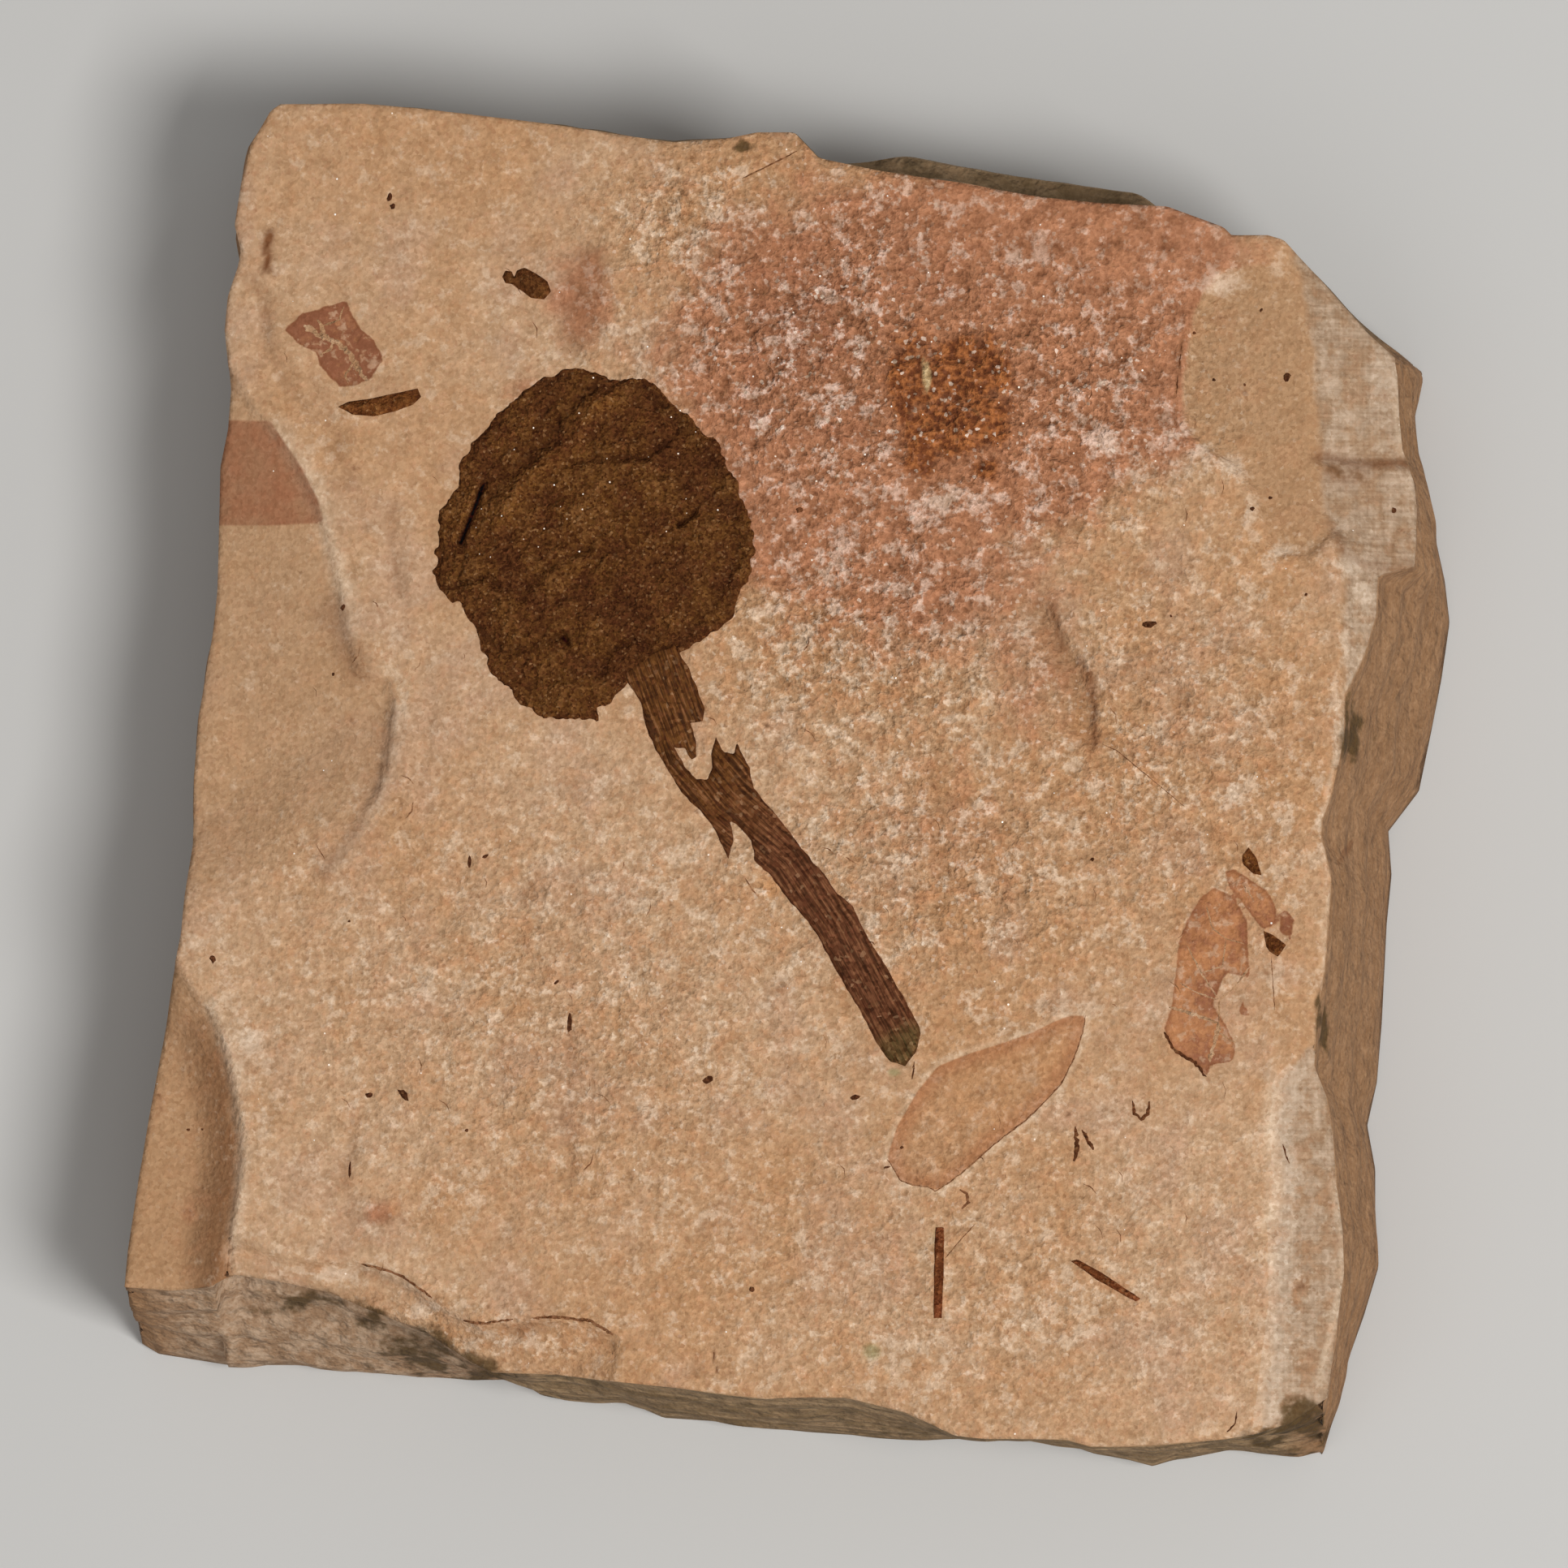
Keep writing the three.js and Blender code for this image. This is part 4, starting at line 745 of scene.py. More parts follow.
def slab_attributes(points, side, gloom):
    x, y, z = points.T
    wx, wy = x + 1.2 * rough(x, y, 3.0, 81), y + 1.2 * rough(x, y, 3.0, 91)
    fx, fy = x + 0.25 * rough(x, y, 1.2, 101), y + 0.25 * rough(x, y, 1.2, 111)
    face = 1.0 - side
    scraps = np.maximum.reduce([depth_in(outline, x, y) for outline in SCRAPS])
    creases = np.maximum.reduce([half - distance_to(line, x, y) for half, line in CREASES])
    arrises = np.maximum.reduce([1.0 - distance_to(line, fx, fy) / reach for reach, line in ARRISES])
    fresh = freshness(x, y)
    salmon = salmon_share(x, y) * (1.0 - smooth(depth_in(CHIP, x, y) / 0.5))
    west = smooth((-20.0 - x) / 4.0) * (y > -10.0)
    deep_down = side * (SLAB_HEIGHT - z)
    shade_and_dirt = blobs(SHADE_AND_DIRT, fx + side * 3.0 * rough(x, z, 5.0, 191), fy)
    chunky = smooth((-16.0 - x + 4.0 * rough(x, z, 4.0, 195)) / 7.0) * (y < -20.0)
    marks = {
        "side": side,
        "gloom": gloom,
        # In the west scoop fresh is weakened, which lightens it: painted light against the shade of its slope
        "fresh": fresh * (1.0 - 0.35 * west) * (1.0 - 0.2 * (y < -30.0)) * face,
        "pale": facet_share(x, y) * face,
        # The west scoop's share here raises the tone: painted light against the shade of its slope
        "broad": rough(x, y, 13.0, 121) + 0.9 * west * fresh,
        "patch": rough(x, y, 3.4, 131),
        "salmon": salmon * face,
        "crumb": crumbliness(x, y) * face,
        "plum": blobs(PLUM, wx, wy),
        "ember": blobs(EMBER, fx, fy),
        "fleck": blobs(PALE_FLECK, fx, fy),
        "chalk": blobs(CHALK, x + 0.5 * (fx - x), y + 0.5 * (fy - y)) * face,
        "orange": blobs(ORANGE, fx, fy),
        "green": blobs(GREEN, fx, fy),
        # The dark patches, shade, hollow and tread marks carry painted shade, the dark patches with some real
        # dirt; lit and arris carry painted highlights
        "shade_and_dirt": shade_and_dirt * np.exp(-deep_down / SHADE_AND_DIRT_FADE),
        "shade": face * np.maximum.reduce(beside(SHADES, fx, fy)),
        "deep": np.where(x < 0.0, 1.0, 0.55) + 0.6 * rough(x, y, 2.2, 161),
        "hollow": face * corner_shade(x, y),
        "lit": np.maximum(corner_light(x, y), blobs(LIT_FACET, fx, fy)) * face,
        "tread": face * tread_place(x, y) ** 3 * on_bench(x, y),
        "chunky": chunky,
        "arris": np.clip(arrises, 0.0, 1.0) * np.exp(-deep_down / ARRIS_FADE),
        "mica": face * (0.5 + 0.6 * salmon) * (1.0 - 0.7 * fresh),
    }
    stain, wing = depth_in(STAIN, x, y), depth_in(WING, x, y)
    depths = {"stain": stain, "wing": wing, "scrap": scraps, "crease": creases}
    return marks | {name: np.clip(depth, -3.0, 3.0) for name, depth in depths.items()}


def build_slab():
    points, faces, side, gloom = slab_mesh()
    points = keep_in_box(points, "matrix_slab")
    return make_piece("shale_slab", points, faces, slab_attributes(points, side, gloom))


def resample(outline, spacing):
    run = np.array(outline + outline[:1])
    length = np.hypot(*np.diff(run, axis=0).T).sum()
    return along(run, np.arange(0, int(length / spacing)) * spacing / length)


def film_mesh(outline, spacing, ragged, seed, height):
    """A thin film over an outline: fine triangles, ragged rim, a top and a flat underside."""
    rim = resample(outline, spacing)
    ahead = np.roll(rim, -1, axis=0) - np.roll(rim, 1, axis=0)
    normal = np.column_stack([ahead[:, 1], -ahead[:, 0]]) / (np.hypot(*ahead.T)[:, None] + 1e-9)
    bite = rough(rim[:, 0], rim[:, 1], 0.6, seed)
    rim = rim + normal * (ragged * bite)[:, None]
    low, high = rim.min(0), rim.max(0)
    gx, gy = np.meshgrid(np.arange(low[0], high[0], spacing), np.arange(low[1], high[1], spacing * FILM_ROWS))
    gx = gx + np.where(np.arange(len(gx))[:, None] % 2, spacing / 2, 0.0)
    inner = np.column_stack([gx.ravel(), gy.ravel()])
    inner = inner + np.random.default_rng(seed).uniform(-0.2, 0.2, inner.shape) * spacing
    closed = [tuple(p) for p in rim]
    inner = inner[depth_in(closed, *inner.T) > spacing * 0.55]
    flat = [Vector(p) for p in np.concatenate([rim, inner])]
    ring = list(range(len(rim)))
    flat, _, triangles, *_ = geometry.delaunay_2d_cdt(flat, [], [ring], 1, 1e-5)
    flat = np.array([tuple(p) for p in flat])
    depth = np.maximum(depth_in(closed, *flat.T), 0.0)
    thickness = height(depth, *flat.T)
    top = np.column_stack([flat, surface(*flat.T) + thickness])
    under = np.column_stack([flat, np.full(len(flat), SLAB_HEIGHT - FILM_BED)])
    count = len(flat)
    edges = {(a, b) for tri in triangles for a, b in zip(tri, tri[1:] + tri[:1])}
    walls = [(b, a, a + count, b + count) for a, b in edges if (b, a) not in edges]
    faces = [list(tri) for tri in triangles]
    faces += [[c + count for c in reversed(tri)] for tri in triangles]
    faces += [list(wall) for wall in walls]
    return np.concatenate([top, under]), faces, np.concatenate([depth, depth * 0.0])


def cone_folds(x, y):
    return sum(beside(CONE_FOLDS, x, y))


def cone_thickness(depth, x, y):
    middle = 0.34 * smooth(depth / 4.0) + 0.12 * (1.0 - np.exp(-depth / 0.12))
    relief = cone_folds(x, y) + 0.12 * rough(x, y, 1.5, 201) + 0.13 * rough(x, y, 4.5, 211)
    return np.maximum(middle + relief * smooth(depth / 0.35), 0.03)


def stalk_thickness(depth, x, y):
    run, across = stalk_place(x, y)
    fibres = 0.07 * ripple(across * 3.2, run * 0.16, 1.0, 221)
    fibres = fibres + 0.045 * ripple(across * 7.0, run * 0.3, 1.0, 231)
    return np.maximum(0.26 * (1.0 - np.exp(-depth / 0.16)) + fibres * smooth(depth / 0.15), 0.03)


def stalk_place(x, y):
    """How far along the stalk a point lies, and how far to its side."""
    best, run, across, start = np.full(np.shape(x), np.inf), 0.0 * x, 0.0 * x, 0.0
    for (ax, ay), (bx, by) in zip(STALK_AXIS, STALK_AXIS[1:]):
        length = math.hypot(bx - ax, by - ay)
        ux, uy = (bx - ax) / length, (by - ay) / length
        t = np.clip((x - ax) * ux + (y - ay) * uy, 0.0, length)
        gap = np.hypot(x - ax - ux * t, y - ay - uy * t)
        side = (x - ax) * uy - (y - ay) * ux
        closer = gap < best
        best = np.where(closer, gap, best)
        run, across = np.where(closer, start + t, run), np.where(closer, side, across)
        start += length
    return run, across


def swelling(crown, reach):
    """The thickness of a small film, which rises from its rim to its crown."""
    return lambda depth, x, y: 0.03 + crown * (1.0 - np.exp(-depth / reach)) + 0.02 * rough(x, y, 0.7, 241)


def build_film(name, node, outline, spacing, ragged, seed, height):
    points, faces, depth = film_mesh(outline, spacing, ragged, seed, height)
    run, across = stalk_place(points[:, 0], points[:, 1])
    marks_of_film = {
        "depth": depth, "run": run, "across": across, "fold": cone_folds(points[:, 0], points[:, 1]),
        "mica": smooth(depth / 0.5) * (points[:, 1] > 14.0),
    }
    piece = make_piece(name, points, faces, marks_of_film)
    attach(piece, "root")
    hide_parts(node)
    return piece


def fleck_mesh(x, y, length, width, turn, rng):
    """An irregular flake of coal, domed a little, with its rim let into the rock."""
    around = np.arange(FLECK_CORNERS) * math.tau / FLECK_CORNERS
    reach = rng.uniform(0.7, 1.2, FLECK_CORNERS)
    a = math.radians(turn)
    east = 0.5 * length * np.cos(around) * reach
    north = 0.5 * width * np.sin(around) * reach
    across = east * math.cos(a) - north * math.sin(a)
    ring = np.column_stack([across, east * math.sin(a) + north * math.cos(a)])
    flat = np.concatenate([[[0.0, 0.0]], 0.6 * ring, ring]) + (x, y)
    lift = np.repeat(FLECK_LIFTS, [1, FLECK_CORNERS, FLECK_CORNERS])
    points = np.column_stack([flat, surface(*flat.T) + lift])
    faces = []
    for k in range(FLECK_CORNERS):
        inner, after = 1 + k, 1 + (k + 1) % FLECK_CORNERS
        faces += [[0, inner, after], [inner, inner + FLECK_CORNERS, after + FLECK_CORNERS, after]]
    return points, faces, lift + 0.1


def ribbon_mesh(half, line, rng):
    """A thin line of film along a path, tapered and uneven, with its edges let into the rock."""
    length = np.hypot(*np.diff(np.array(line), axis=0).T).sum()
    count = max(4, int(length / RIBBON_STEP))
    path = along(line, np.linspace(0.0, 1.0, count + 1)) + rng.normal(0.0, 0.25 * half, (count + 1, 2))
    ahead = np.gradient(path, axis=0)
    out = np.column_stack([ahead[:, 1], -ahead[:, 0]]) / (np.hypot(*ahead.T)[:, None] + 1e-9)
    taper = np.minimum(1.0, 0.35 + np.minimum(np.arange(count + 1), count - np.arange(count + 1)) * 0.35)
    wide = half * taper * rng.uniform(0.65, 1.35, count + 1)
    flat = np.concatenate([path + out * (wide * side)[:, None] for side in (-1.0, 0.0, 1.0)])
    lift = np.repeat(RIBBON_LIFTS, count + 1)
    points = np.column_stack([flat, surface(*flat.T) + lift])
    row = count + 1
    starts = [k + side for side in (0, row) for k in range(count)]
    return points, [[k + row + 1, k + row, k, k + 1] for k in starts], lift + 0.1


def stray_hairs(count, rng):
    """Short hairs of film strewn over the face, each a half width and a line."""
    hairs = []
    least, most = (-31, -31, 1.0, 0.15, 0.02), (28, 32, 2.6, 0.6, 0.045)
    for x, y, turn, reach, half in rng.uniform(least, most, (count, len(least))):
        dx, dy = reach * math.cos(turn), reach * math.sin(turn)
        hairs.append((half, [(x - dx, y - dy), (x + 0.3 * dy, y - 0.3 * dx), (x + dx, y + dy)]))
    return hairs


def joined(parts):
    """Several meshes, each with points, faces and depth, as one."""
    starts = np.cumsum([0] + [len(points) for points, _, _ in parts])
    faces = [[k + int(start) for k in face] for (_, own, _), start in zip(parts, starts) for face in own]
    return np.concatenate([p for p, _, _ in parts]), faces, np.concatenate([d for _, _, d in parts])


def build_loose(name, parts):
    points, faces, depth = joined(parts)
    piece = make_piece(name, points, faces, {"depth": depth})
    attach(piece, "root")
    return piece


def strewing():
    """A node tree that strews small flat flakes over a surface, thickest where it is marked mica."""
    tree = bpy.data.node_groups.new("strewing", "GeometryNodeTree")
    sockets = {}
    kinds = {"Surface": "Geometry", "Per square metre": "Float", "Radius": "Float", "Seed": "Int",
             "Finish": "Material"}
    for label, kind in kinds.items():
        socket = tree.interface.new_socket(label, in_out="INPUT", socket_type="NodeSocket" + kind)
        sockets[label] = socket.identifier
    tree.interface.new_socket("Flakes", in_out="OUTPUT", socket_type="NodeSocketGeometry")
    n = Nodes(tree)
    start = tree.nodes.new("NodeGroupInput")
    given = {label: Wire(n, start.outputs[label]) for label in sockets}
    mark = n.make("GeometryNodeInputNamedAttribute", {"data_type": "FLOAT"}, {"Name": "mica"})
    spots = tree.nodes.new("GeometryNodeDistributePointsOnFaces")
    wires = {"Mesh": given["Surface"], "Density": mark * given["Per square metre"], "Seed": given["Seed"]}
    for label, wire in wires.items():
        tree.links.new(wire.socket, spots.inputs[label])
    point, normal, facing = (Wire(n, spots.outputs[label]) for label in ("Points", "Normal", "Rotation"))
    tilt = n.make("FunctionNodeRandomValue", {"data_type": "FLOAT_VECTOR"},
                  {0: (-FLAKE_TILT, -FLAKE_TILT, -math.pi), 1: (FLAKE_TILT, FLAKE_TILT, math.pi)})
    turn = n.make("FunctionNodeRotateRotation", {"rotation_space": "LOCAL"}, {0: facing, 1: tilt})
    lift = n.make("ShaderNodeVectorMath", {"operation": "SCALE"},
                  {0: normal, "Scale": given["Radius"] * FLAKE_LIFT})
    raised = n.make("GeometryNodeSetPosition", None, {"Geometry": point, "Offset": lift})
    flake = n.make("GeometryNodeMeshCircle", {"fill_type": "NGON"},
                   {"Vertices": FLAKE_CORNERS, "Radius": given["Radius"]})
    least, most = FLAKE_SIZES
    size = n.make("FunctionNodeRandomValue", {"data_type": "FLOAT"}, {2: least, 3: most}, out=1)
    strewn = n.make("GeometryNodeInstanceOnPoints", None,
                    {"Points": raised, "Instance": flake, "Rotation": turn, "Scale": size})
    solid = n.make("GeometryNodeRealizeInstances", None, {"Geometry": strewn})
    done = n.make("GeometryNodeSetMaterial", None, {"Geometry": solid, "Material": given["Finish"]})
    end = tree.nodes.new("NodeGroupOutput")
    tree.links.new(done.socket, end.inputs[0])
    return tree, sockets


def strew(name, host, tree, sockets, values):
    """A piece of flakes strewn over a host's surface."""
    piece = bpy.data.objects.new(name, host.data.copy())
    bpy.context.scene.collection.objects.link(piece)
    modifier = piece.modifiers.new("strewing", "NODES")
    modifier.node_group = tree
    for label, value in values.items():
        modifier[sockets[label]] = value
    bpy.context.view_layer.update()
    flakes = bpy.data.meshes.new_from_object(piece.evaluated_get(bpy.context.evaluated_depsgraph_get()))
    piece.modifiers.remove(modifier)
    piece.data = flakes
    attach(piece, "root")
    return piece


# Materials

def tint(code):
    """Linear colour from a hex code such as c9a27c."""
    parts = [int(code[k:k + 2], 16) / 255.0 for k in (0, 2, 4)]
    return tuple(p / 12.92 if p <= 0.04045 else ((p + 0.055) / 1.055) ** 2.4 for p in parts) + (1.0,)


class Wire:
    """A socket that can be used in Python sums."""

    def __init__(self, nodes, socket):
        self.nodes, self.socket = nodes, socket

    def sum(self, operation, *terms):
        return self.nodes.make("ShaderNodeMath", {"operation": operation}, dict(enumerate(terms)))

    def __add__(self, other):
        return self.sum("ADD", self, other)

    __radd__ = __add__

    def __sub__(self, other):
        return self.sum("SUBTRACT", self, other)

    def __rsub__(self, other):
        return self.sum("SUBTRACT", other, self)

    def __mul__(self, other):
        return self.sum("MULTIPLY", self, other)

    __rmul__ = __mul__

    def __abs__(self):
        return self.sum("ABSOLUTE", self)

    def between(self, low, high):
        """0 below low, 1 above high, smooth from one to the other; low may be the higher."""
        return self.nodes.make(
            "ShaderNodeMapRange", {"interpolation_type": "SMOOTHSTEP"},
            {"Value": self, "From Min": low, "From Max": high},
        )


class Nodes:
    """A node tree and one way to add nodes to it."""

    def __init__(self, tree):
        self.tree = tree

    def make(self, kind, settings=None, values=None, out=0):
        node = self.tree.nodes.new(kind)
        for key, value in (settings or {}).items():
            setattr(node, key, value)
        for key, value in (values or {}).items():
            if isinstance(value, Wire):
                self.tree.links.new(value.socket, node.inputs[key])
            else:
                node.inputs[key].default_value = value
        return Wire(self, node.outputs[out])


class Finish(Nodes):
    """One material and the nodes that make it."""

    def __init__(self, name, roughness, gleam=0.25):
        self.material = bpy.data.materials.new(name)
        self.material.use_nodes = True
        super().__init__(self.material.node_tree)
        self.shader = self.tree.nodes["Principled BSDF"]
        self.shader.inputs["Roughness"].default_value = roughness
        self.shader.inputs["Specular IOR Level"].default_value = gleam
        self.place = self.make("ShaderNodeVectorMath", {"operation": "SCALE"},
                               {0: self.make("ShaderNodeTexCoord", out="Object"), "Scale": 1.0 / MM})

    def mark(self, name):
        return self.make("ShaderNodeAttribute", {"attribute_name": name}, out="Fac")

    def noise(self, scale, detail=2.0, stretch=None, place=None, tangle=0.5):
        place = place or self.place
        if stretch:
            place = self.make("ShaderNodeMapping", values={"Vector": place, "Scale": stretch})
        return self.make("ShaderNodeTexNoise",
                         values={"Vector": place, "Scale": scale, "Detail": detail, "Roughness": tangle})

    def grains(self, per_mm):
        """Mineral grains, each with three random numbers of its own between 0 and 1."""
        cell = self.make("ShaderNodeTexVoronoi", values={"Vector": self.place, "Scale": per_mm}, out="Color")
        return [self.make("ShaderNodeSeparateColor", values={"Color": cell}, out=k) for k in range(3)]

    def mix(self, share, a, b):
        """From one colour to another by a share; each is a code or a wire."""
        a, b = (tint(c) if isinstance(c, str) else c for c in (a, b))
        return self.make("ShaderNodeMix", {"data_type": "RGBA"}, {0: share, 6: a, 7: b}, out=2)

    def coats(self, colour, *layers):
        """Lays colours one over another, each with its share."""
        for share, over in layers:
            colour = self.mix(share, colour, over)
        return colour

    def glow(self, colour, level, warmth=0.35):
        """Lightens a colour where level is above 0, and darkens and warms it below."""
        by = self.make("ShaderNodeCombineXYZ", values={
            0: level + 1.0, 1: level * (1.0 + warmth * 0.45) + 1.0, 2: level * (1.0 + warmth) + 1.0})
        return self.make("ShaderNodeVectorMath", {"operation": "MULTIPLY"}, {0: colour, 1: by})

    def end(self, colour, height=None, strength=1.0, distance=0.0):
        """Joins the colour to the shader, and any height as a fine bump, its distance in mm."""
        ends = {"Base Color": colour}
        if height:
            values = {"Height": height, "Strength": strength, "Distance": distance * MM}
            ends["Normal"] = self.make("ShaderNodeBump", values=values)
        for name, wire in ends.items():
            self.tree.links.new(wire.socket, self.shader.inputs[name])
        return self.material


def shale():
    """Tan shale, with mineral grains on the split face where it crumbles, calmer where it broke clean."""
    f = Finish("shale", 0.9)
    side, fresh, crumb, salmon, chalk = map(f.mark, ("side", "fresh", "crumb", "salmon", "chalk"))
    cloud, clumps, lumps = f.noise(0.75, 5.0), f.noise(0.9, 6.0, tangle=0.68), f.noise(2.6, 2.0)
    light, hue, odd = f.grains(4.8)
    calm = 1.0 - 0.55 * fresh
    warm = (0.5 - clumps) * calm + crumb * 0.05 + (lumps - 0.5) * 0.2
    bloom = (clumps - 0.5) * calm + chalk * 0.16 + crumb * 0.03 - f.mark("ember") * 0.2
    bloomed = (bloom + (lumps - 0.5) * 0.2).between(0.04, 0.14) * (0.25 + crumb * 0.36)
    colour = f.coats(
        face_ground(f, fresh, cloud, clumps),
        (warm.between(0.02, 0.16) * (0.25 + crumb * 0.45), "ab764b"),
        (cloud.between(0.50, 0.60) * crumb * 0.4, "b2774e"),
    )
    colour = f.coats(
        rusty_ground(f, colour, cloud, lumps),
        (hue.between(0.75, 0.98) * calm * 0.18, "b47a5c"),
        (lumps.between(0.43, 0.33) * salmon * 0.15, "8a4f35"),
        (bloomed, f.mix(salmon, "dac1a6", "d6b8a3")),
        (chalk.between(0.3, 1.0) * bloom.between(0.0, 0.15) * 0.3, "e0cbb4"),
        (odd.between(0.95, 0.99) * crumb * 0.5, "ead9c4"),
        (odd.between(0.05, 0.02) * (0.12 + crumb * 0.3), "7a5430"),
        (f.mark("fleck").between(0.3, 0.7) * 0.8, "c8ab7c"),
    )
    colour = scrap_print(f, wing_print(f, colour), lumps, clumps)
    colour = stains(f, f.mix(side, colour, broken_side(f, cloud, clumps)), lumps, cloud)
    grain = (light - 0.5) * (crumb * 0.22 + 0.20)
    mottle = (lumps - 0.5) * (crumb * 1.2 + 0.35) * calm + f.mark("patch") * 0.06
    mottle = mottle + (cloud - 0.5) * (0.5 + salmon * 0.8)
    height = (cloud * 2.0 + lumps * 1.2) * (crumb * 0.9 + 0.12) + f.noise(0.8, 3.0) * side * 2.0
    return f.end(f.glow(f.glow(colour, mottle), grain, 0.6), height, 1.0, 0.38)


def face_ground(f, fresh, cloud, clumps):
    """The plain tones of the face, its fresh breaks and pale facets, painted shade on the south-west scoop's
    wall, and painted highlights on lit brinks and arrises.
    """
    patch, lit = f.mark("patch"), f.mark("lit")
    chalky = f.mix(cloud.between(0.42, 0.60), "b1977e", "9a7d61")
    weave = f.noise(1.0, 2.0, stretch=(0.25, 4.5, 0.5)) + f.noise(1.0, 1.0, stretch=(3.5, 0.3, 0.5)) * 0.7
    return f.coats(
        f.mix(f.mark("broad").between(-0.5, 0.5), "b88d66", "bf9a77"),
        (patch.between(0.0, 0.6) * 0.40, "ad8159"),
        (patch.between(0.0, -0.6) * 0.40, "be9a80"),
        (fresh * 0.85, f.mix(cloud.between(0.35, 0.65), "ae8661", "a57e5a")),
        # Painted shade on the wall of the south-west scoop
        (f.mark("hollow") * (0.4 + cloud * 0.5), "80522f"),
        (f.mark("pale") * 0.92, f.glow(chalky, (weave - 0.85) * 0.8)),
        # Painted highlight on the lit brinks and facets
        (lit.between(0.0, 0.15) * (lit + (clumps - 0.5) * 1.2).between(0.25, 0.5) * 0.3, "dcc6ae"),
        # Painted highlight on arrises
        (f.mark("arris") * (0.1 + cloud * 0.8), "dac0a3"),
    )


def rusty_ground(f, colour, cloud, lumps):
    """The salmon cast of the upper right, its plum mottling and the ember of rust in it."""
    unrest = cloud - 0.5
    return f.coats(
        colour,
        ((f.mark("salmon") + unrest * 0.9).between(0.0, 0.85) * 0.9, "a76e4d"),
        ((f.mark("plum") * 0.55 + unrest * 1.6).between(0.24, 0.60) * 0.4, "804b32"),
        ((f.mark("ember") + unrest * 1.4).between(0.25, 0.75) * 0.92,
         f.mix(lumps.between(0.38, 0.60), "6a340f", "925428")),
        (f.mark("orange").between(0.2, 0.9) * 0.5, "c48a55"),
    )


def broken_side(f, cloud, clumps):
    """The broken sides, darker than the face as painted shade: plain tan beds, thinner and paler with dark
    seams to the north and south.
    """
    thin, unrest = f.noise(1.0, 4.0, stretch=(0.06, 0.06, 1.5)), cloud - 0.5
    seam = abs(thin + unrest * 0.25 - 0.5).between(0.035, 0.0)
    # Tones darker than the face's: painted shade on the sides
    plain = f.coats(
        f.mix(thin.between(0.35, 0.65), "95704f", "916c4b"),
        (clumps.between(0.50, 0.62) * 0.3, "ab8462"),
        (seam * 0.12, "6f4f33"),
    )
    dim = f.mix((thin + unrest * 0.9).between(0.22, 0.78), "a08362", "6f583b")
    lump = f.mix(clumps.between(0.42, 0.58), "9d7c5f", "b2957a")
    dim = f.mix(f.mark("chunky"), f.mix(seam * 0.3, dim, "54432b"), f.mix(seam * 0.12, lump, "7a6044"))
    return f.mix(f.mark("gloom"), plain, dim)


def stains(f, colour, lumps, cloud):
    """What has stained the rock: the iron stain and green specks; dark patches that are painted shade in
    recesses with some dirt; and painted shade on walls, at scarp feet, on the bench's steps and in the dark
    creases.
    """
    return f.coats(
        colour,
        (f.mark("stain").between(-0.05, 0.15) * (0.25 + cloud * 1.1) * (1.0 - f.mark("side")), "925f41"),
        (f.mark("green").between(0.2, 0.8) * 0.5, "7e8456"),
        # Dark patches: painted shade in recesses and under overhangs, with some real dirt
        ((f.mark("shade_and_dirt") + (cloud - 0.5) * 1.5).between(0.25, 0.62) * 0.86, "483414"),
        # Painted brown shade on walls, at scarp feet and in grooves, with one real smear
        (f.mark("shade") * (0.35 + cloud * 0.8), "75492a"),
        # Dark at the foot of each step of the bench: painted shade
        (f.mark("tread") * 0.22, "7b5335"),
        # Dark in the creases: painted shade
        ((f.mark("crease") + (lumps - 0.5) * 0.12).between(-0.12, 0.05) * 0.6, "74492a"),
    )


def wing_print(f, colour):
    """The winged seed: a faint reddish film, redder near its rim, with pale rock round it."""
    wing = f.mark("wing")
    within = wing.between(-0.05, 0.08)
    return f.coats(
        colour,
        (within * 0.38, "ab7548"),
        (within * (1.0 - wing.between(0.1, 1.4)) * 0.45, "9f5f3a"),
        (wing.between(-0.55, -0.1) * (1.0 - within) * 0.3, "d6bb9c"),
    )


def scrap_print(f, colour, lumps, clumps):
    """Scraps of bract and leaf: reddish brown films, darker at the rim and worn thin in places."""
    unrest = lumps - 0.5
    scrap = f.mark("scrap") + unrest * 0.25
    within = scrap.between(-0.04, 0.08)
    bare = (clumps + unrest * 0.6).between(0.53, 0.64)
    film = f.mix((f.mark("deep") + unrest * 2.0).between(0.0, 1.0), "b97c50", "824a30")
    return f.coats(
        colour,
        (within * (0.9 - bare * 0.4), film),
        (within * (1.0 - scrap.between(0.03, 0.3)) * 0.5, "7a4626"),
    )


def coal(name, dark, light, speck, roughness, grit=0.8):
    """A pressed plant film: matt brown coal, mottled, with paler mineral grains in it."""
    f = Finish(name, roughness, COAL_GLEAM)
    patches, lumps = f.noise(0.4, 4.0), f.noise(1.9, 3.0)
    grain, hue, odd = f.grains(7.0)
    colour = f.coats(
        f.mix(patches.between(0.38, 0.62), dark, light),
        ((lumps + patches).between(1.04, 1.2) * 0.4, speck),
        (hue.between(0.75, 0.95) * 0.25, "64301c"),
        (odd.between(0.90, 0.98) * 0.4, "946c46"),
        ((1.0 - f.mark("depth").between(0.02, 0.3)) * 0.3, "5f3213"),
    )
    # The fold mark paints folds darker and ridges lighter: painted shade and highlight on the cone's relief
    colour = f.glow(f.glow(colour, (lumps - 0.5) * 0.6 + f.mark("fold") * 1.6), (grain - 0.5) * grit, 0.6)
    return f.end(colour, lumps * 1.3 + patches * 1.5 + grain * 0.12, 1.0, 0.5)


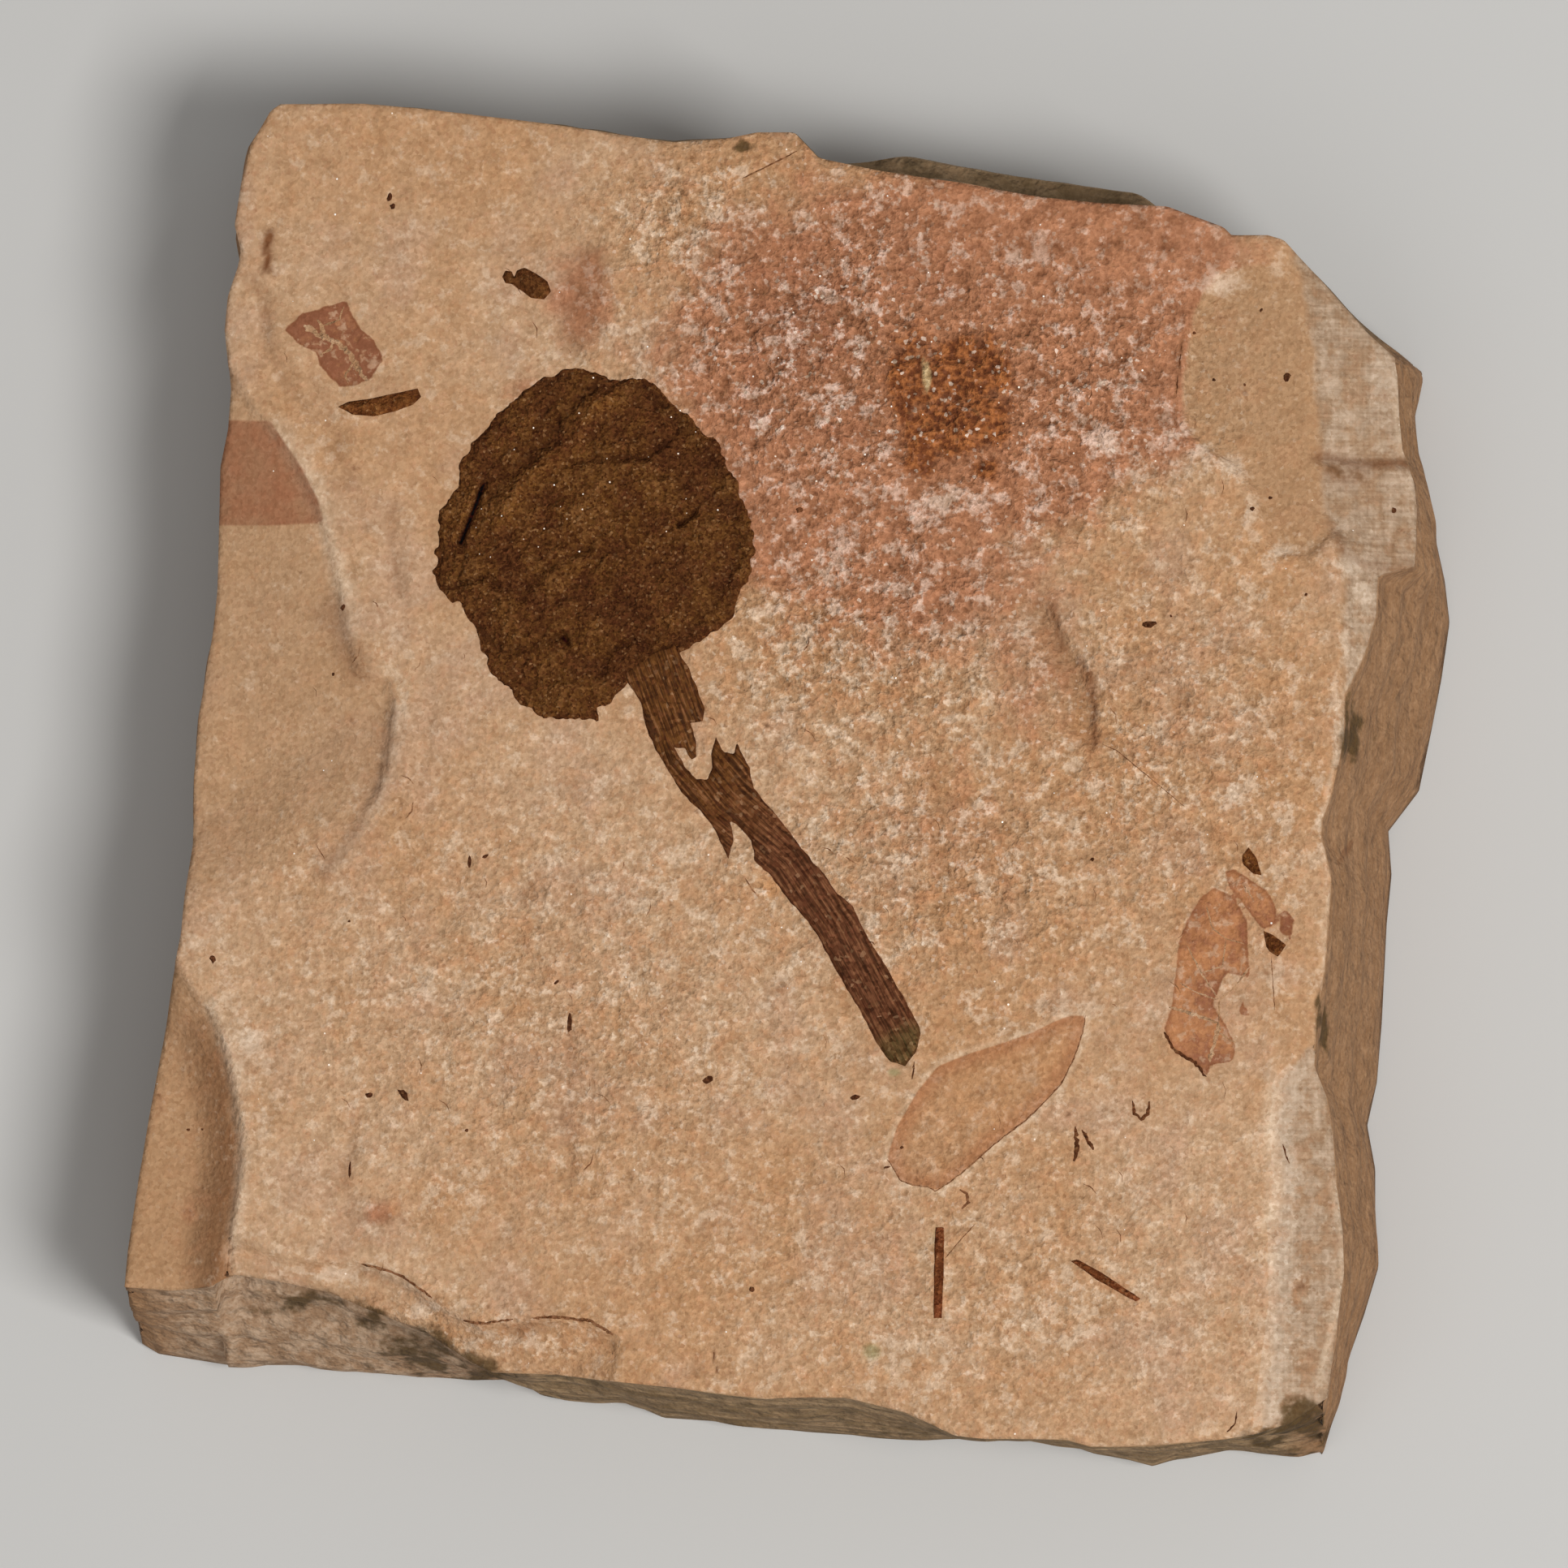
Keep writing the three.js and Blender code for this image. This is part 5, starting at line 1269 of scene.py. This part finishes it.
def stalk_coal():
    """The stalk: long fibres, redder and paler towards its lower end, darker along its edges."""
    f = Finish("stalk_coal", 0.75, COAL_GLEAM)
    run, across = f.mark("run"), f.mark("across")
    lay = f.make("ShaderNodeCombineXYZ", values={0: across, 1: run * 0.07})
    threads, lumps = f.noise(6.0, 2.0, place=lay), f.noise(2.2, 3.0)
    grain, hue, odd = f.grains(4.6)
    colour = f.coats(
        f.mix((run + (lumps - 0.5) * 4.0).between(7.0, 16.0), "613a17", "633a23"),
        (threads.between(0.48, 0.60) * 0.8, "3a1f0c"),
        (threads.between(0.46, 0.36) * 0.6, "855838"),
        (hue.between(0.7, 0.95) * 0.15, "703420"),
        (odd.between(0.94, 0.98) * 0.35, "a07a58"),
        (run.between(27.0, 28.2) * 0.35, "4f5028"),
        ((1.0 - f.mark("depth").between(0.02, 0.25)) * 0.3, "5a3018"),
    )
    colour = f.glow(colour, (grain - 0.5) * 0.7 + (lumps - 0.5) * 0.8, 0.5)
    return f.end(colour, threads + lumps * 0.6, 0.8, 0.2)


def mica():
    """Bright flat flakes."""
    f = Finish("mica", 0.35, 0.8)
    return f.end(f.mix(f.noise(0.2, 0.0).between(0.4, 0.6), "ffe9d2", "fff6ea"))


def paint(piece, material):
    piece.data.materials.clear()
    piece.data.materials.append(material)


def floor():
    mesh = bpy.data.meshes.new("floor")
    half = 1.5
    corners = [(-half, -half, 0), (half, -half, 0), (half, half, 0), (-half, half, 0)]
    mesh.from_pydata(corners, [], [(0, 1, 2, 3)])
    sheet = bpy.data.objects.new("floor", mesh)
    bpy.context.scene.collection.objects.link(sheet)
    f = Finish("floor", 0.9)
    f.shader.inputs["Base Color"].default_value = (0.56, 0.55, 0.53, 1.0)
    mesh.materials.append(f.material)


def light(name, azimuth, elevation, distance, size, watts):
    """A square lamp aimed at the slab; azimuth runs clockwise from +Y."""
    lamp = bpy.data.lights.new(name, "AREA")
    lamp.size, lamp.energy = size, watts
    thing = bpy.data.objects.new(name, lamp)
    bpy.context.scene.collection.objects.link(thing)
    a, e = math.radians(azimuth), math.radians(elevation)
    way = Vector((math.sin(a) * math.cos(e), math.cos(a) * math.cos(e), math.sin(e)))
    thing.location = way * distance
    thing.rotation_euler = way.to_track_quat("Z", "Y").to_euler()


def lights():
    light("key", 116, 60, 0.9, 0.3, 5.9)
    light("overhead", 200, 60, 1.0, 0.8, 1.3)
    world = bpy.data.worlds.new("studio")
    world.use_nodes = True
    background = world.node_tree.nodes["Background"]
    background.inputs["Color"].default_value = (1.0, 1.0, 1.0, 1.0)
    background.inputs["Strength"].default_value = 0.30
    bpy.context.scene.world = world


def plain_film():
    bpy.context.scene.view_settings.view_transform = "Standard"


def camera():
    """Looks almost straight down, from a little to the south-east, with +Y upward in the view."""
    lens, sensor, frame_width = 500.0, 36.0, 96.4 * MM
    east, south = math.sin(math.radians(4.0)), math.sin(math.radians(4.5))
    back = Vector((east, -south, math.sqrt(1.0 - east * east - south * south)))
    slant = east * south / 2.0  # shared out between the slab's two directions
    right = Vector((-slant, 1.0, 0.0)).cross(back).normalized()
    turn = Matrix((right, back.cross(right), back)).transposed()
    data = bpy.data.cameras.new("camera")
    data.lens, data.sensor_width, data.clip_start = lens, sensor, 0.01
    target = Vector((-SLAB_MIDDLE[0] * MM, -SLAB_MIDDLE[1] * MM, SLAB_HEIGHT * MM))
    thing = bpy.data.objects.new("camera", data)
    bpy.context.scene.collection.objects.link(thing)
    thing.matrix_world = Matrix.Translation(target + back * frame_width * lens / sensor) @ turn.to_4x4()
    bpy.context.scene.camera = thing


slab = build_slab()
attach(slab, "root")
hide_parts("matrix_slab")
paint(slab, shale())

# Each film: its piece, node and outline, the size of its triangles, how ragged it is, seed and thickness
cone = build_film("pressed_cone", "cone", CONE_RIM, 0.15, 0.30, 301, cone_thickness)
paint(cone, coal("cone_coal", "522d12", "603a16", "724a27", 0.8, 0.95))
stalk = build_film("pressed_stalk", "cone_stalk", STALK_OUTLINE, 0.12, 0.09, 311, stalk_thickness)
paint(stalk, stalk_coal())
leaf_coal = coal("leaf_coal", "583010", "73421c", "8a5c30", 0.7)
leaf = build_film("needle_leaf_film", "needle_leaf", LEAF_OUTLINE, 0.09, 0.03, 321, swelling(0.18, 0.2))
paint(leaf, leaf_coal)
seed = build_film("seed_film", "seed", SEED_OUTLINE, 0.08, 0.03, 331, swelling(0.3, 0.3))
paint(seed, coal("seed_coal", "5a3416", "74481f", "8a6038", 0.8))
needle_coal = coal("needle_coal", "6c3a1c", "86492a", "9a643e", 0.8)
for tag, outline in (("a", NEEDLE_A_OUTLINE), ("b", NEEDLE_B_OUTLINE)):
    node = "needle_fragment_" + tag
    needle = build_film("needle_film_" + tag, node, outline, 0.08, 0.04, 341, swelling(0.12, 0.1))
    paint(needle, needle_coal)

fleck_rng = np.random.default_rng(401)
dark_bits = [fleck_mesh(*fleck, fleck_rng) for fleck in FLECKS]
dark_bits += [ribbon_mesh(*line, fleck_rng) for line in DARK_LINES]
flecks = build_loose("coal_flecks", dark_bits)
paint(flecks, coal("fleck_coal", "4a2a17", "663c22", "805436", 0.8))
hair_bits = [ribbon_mesh(*line, fleck_rng) for line in HAIRLINES + stray_hairs(STRAY_HAIRS, fleck_rng)]
hairlines = build_loose("hairlines", hair_bits)
paint(hairlines, coal("hairline_coal", "84573a", "946645", "a27753", 0.9))
pale_cracks = build_loose("pale_cracks", [ribbon_mesh(*line, fleck_rng) for line in PALE_CRACKS])
paint(pale_cracks, coal("crack_filling", "c0946c", "d0a680", "dab793", 0.9, 0.2))
chip_films = [film_mesh(outline, 0.12, 0.03, 351, swelling(0.08, 0.1)) for outline in LEAF_CHIPS]
chips = build_loose("leaf_chips", chip_films)
paint(chips, leaf_coal)

tree, sockets = strewing()
values = {"Radius": FLAKE_RADIUS * MM, "Finish": mica()}
strewn_on = (("face_mica", slab, FACE_FLAKES, 411), ("cone_mica", cone, CONE_FLAKES, 421))
for name, host, density, seed_number in strewn_on:
    flakes = strew(name, host, tree, sockets, values | {"Per square metre": density, "Seed": seed_number})

floor()
lights()
plain_film()
camera()
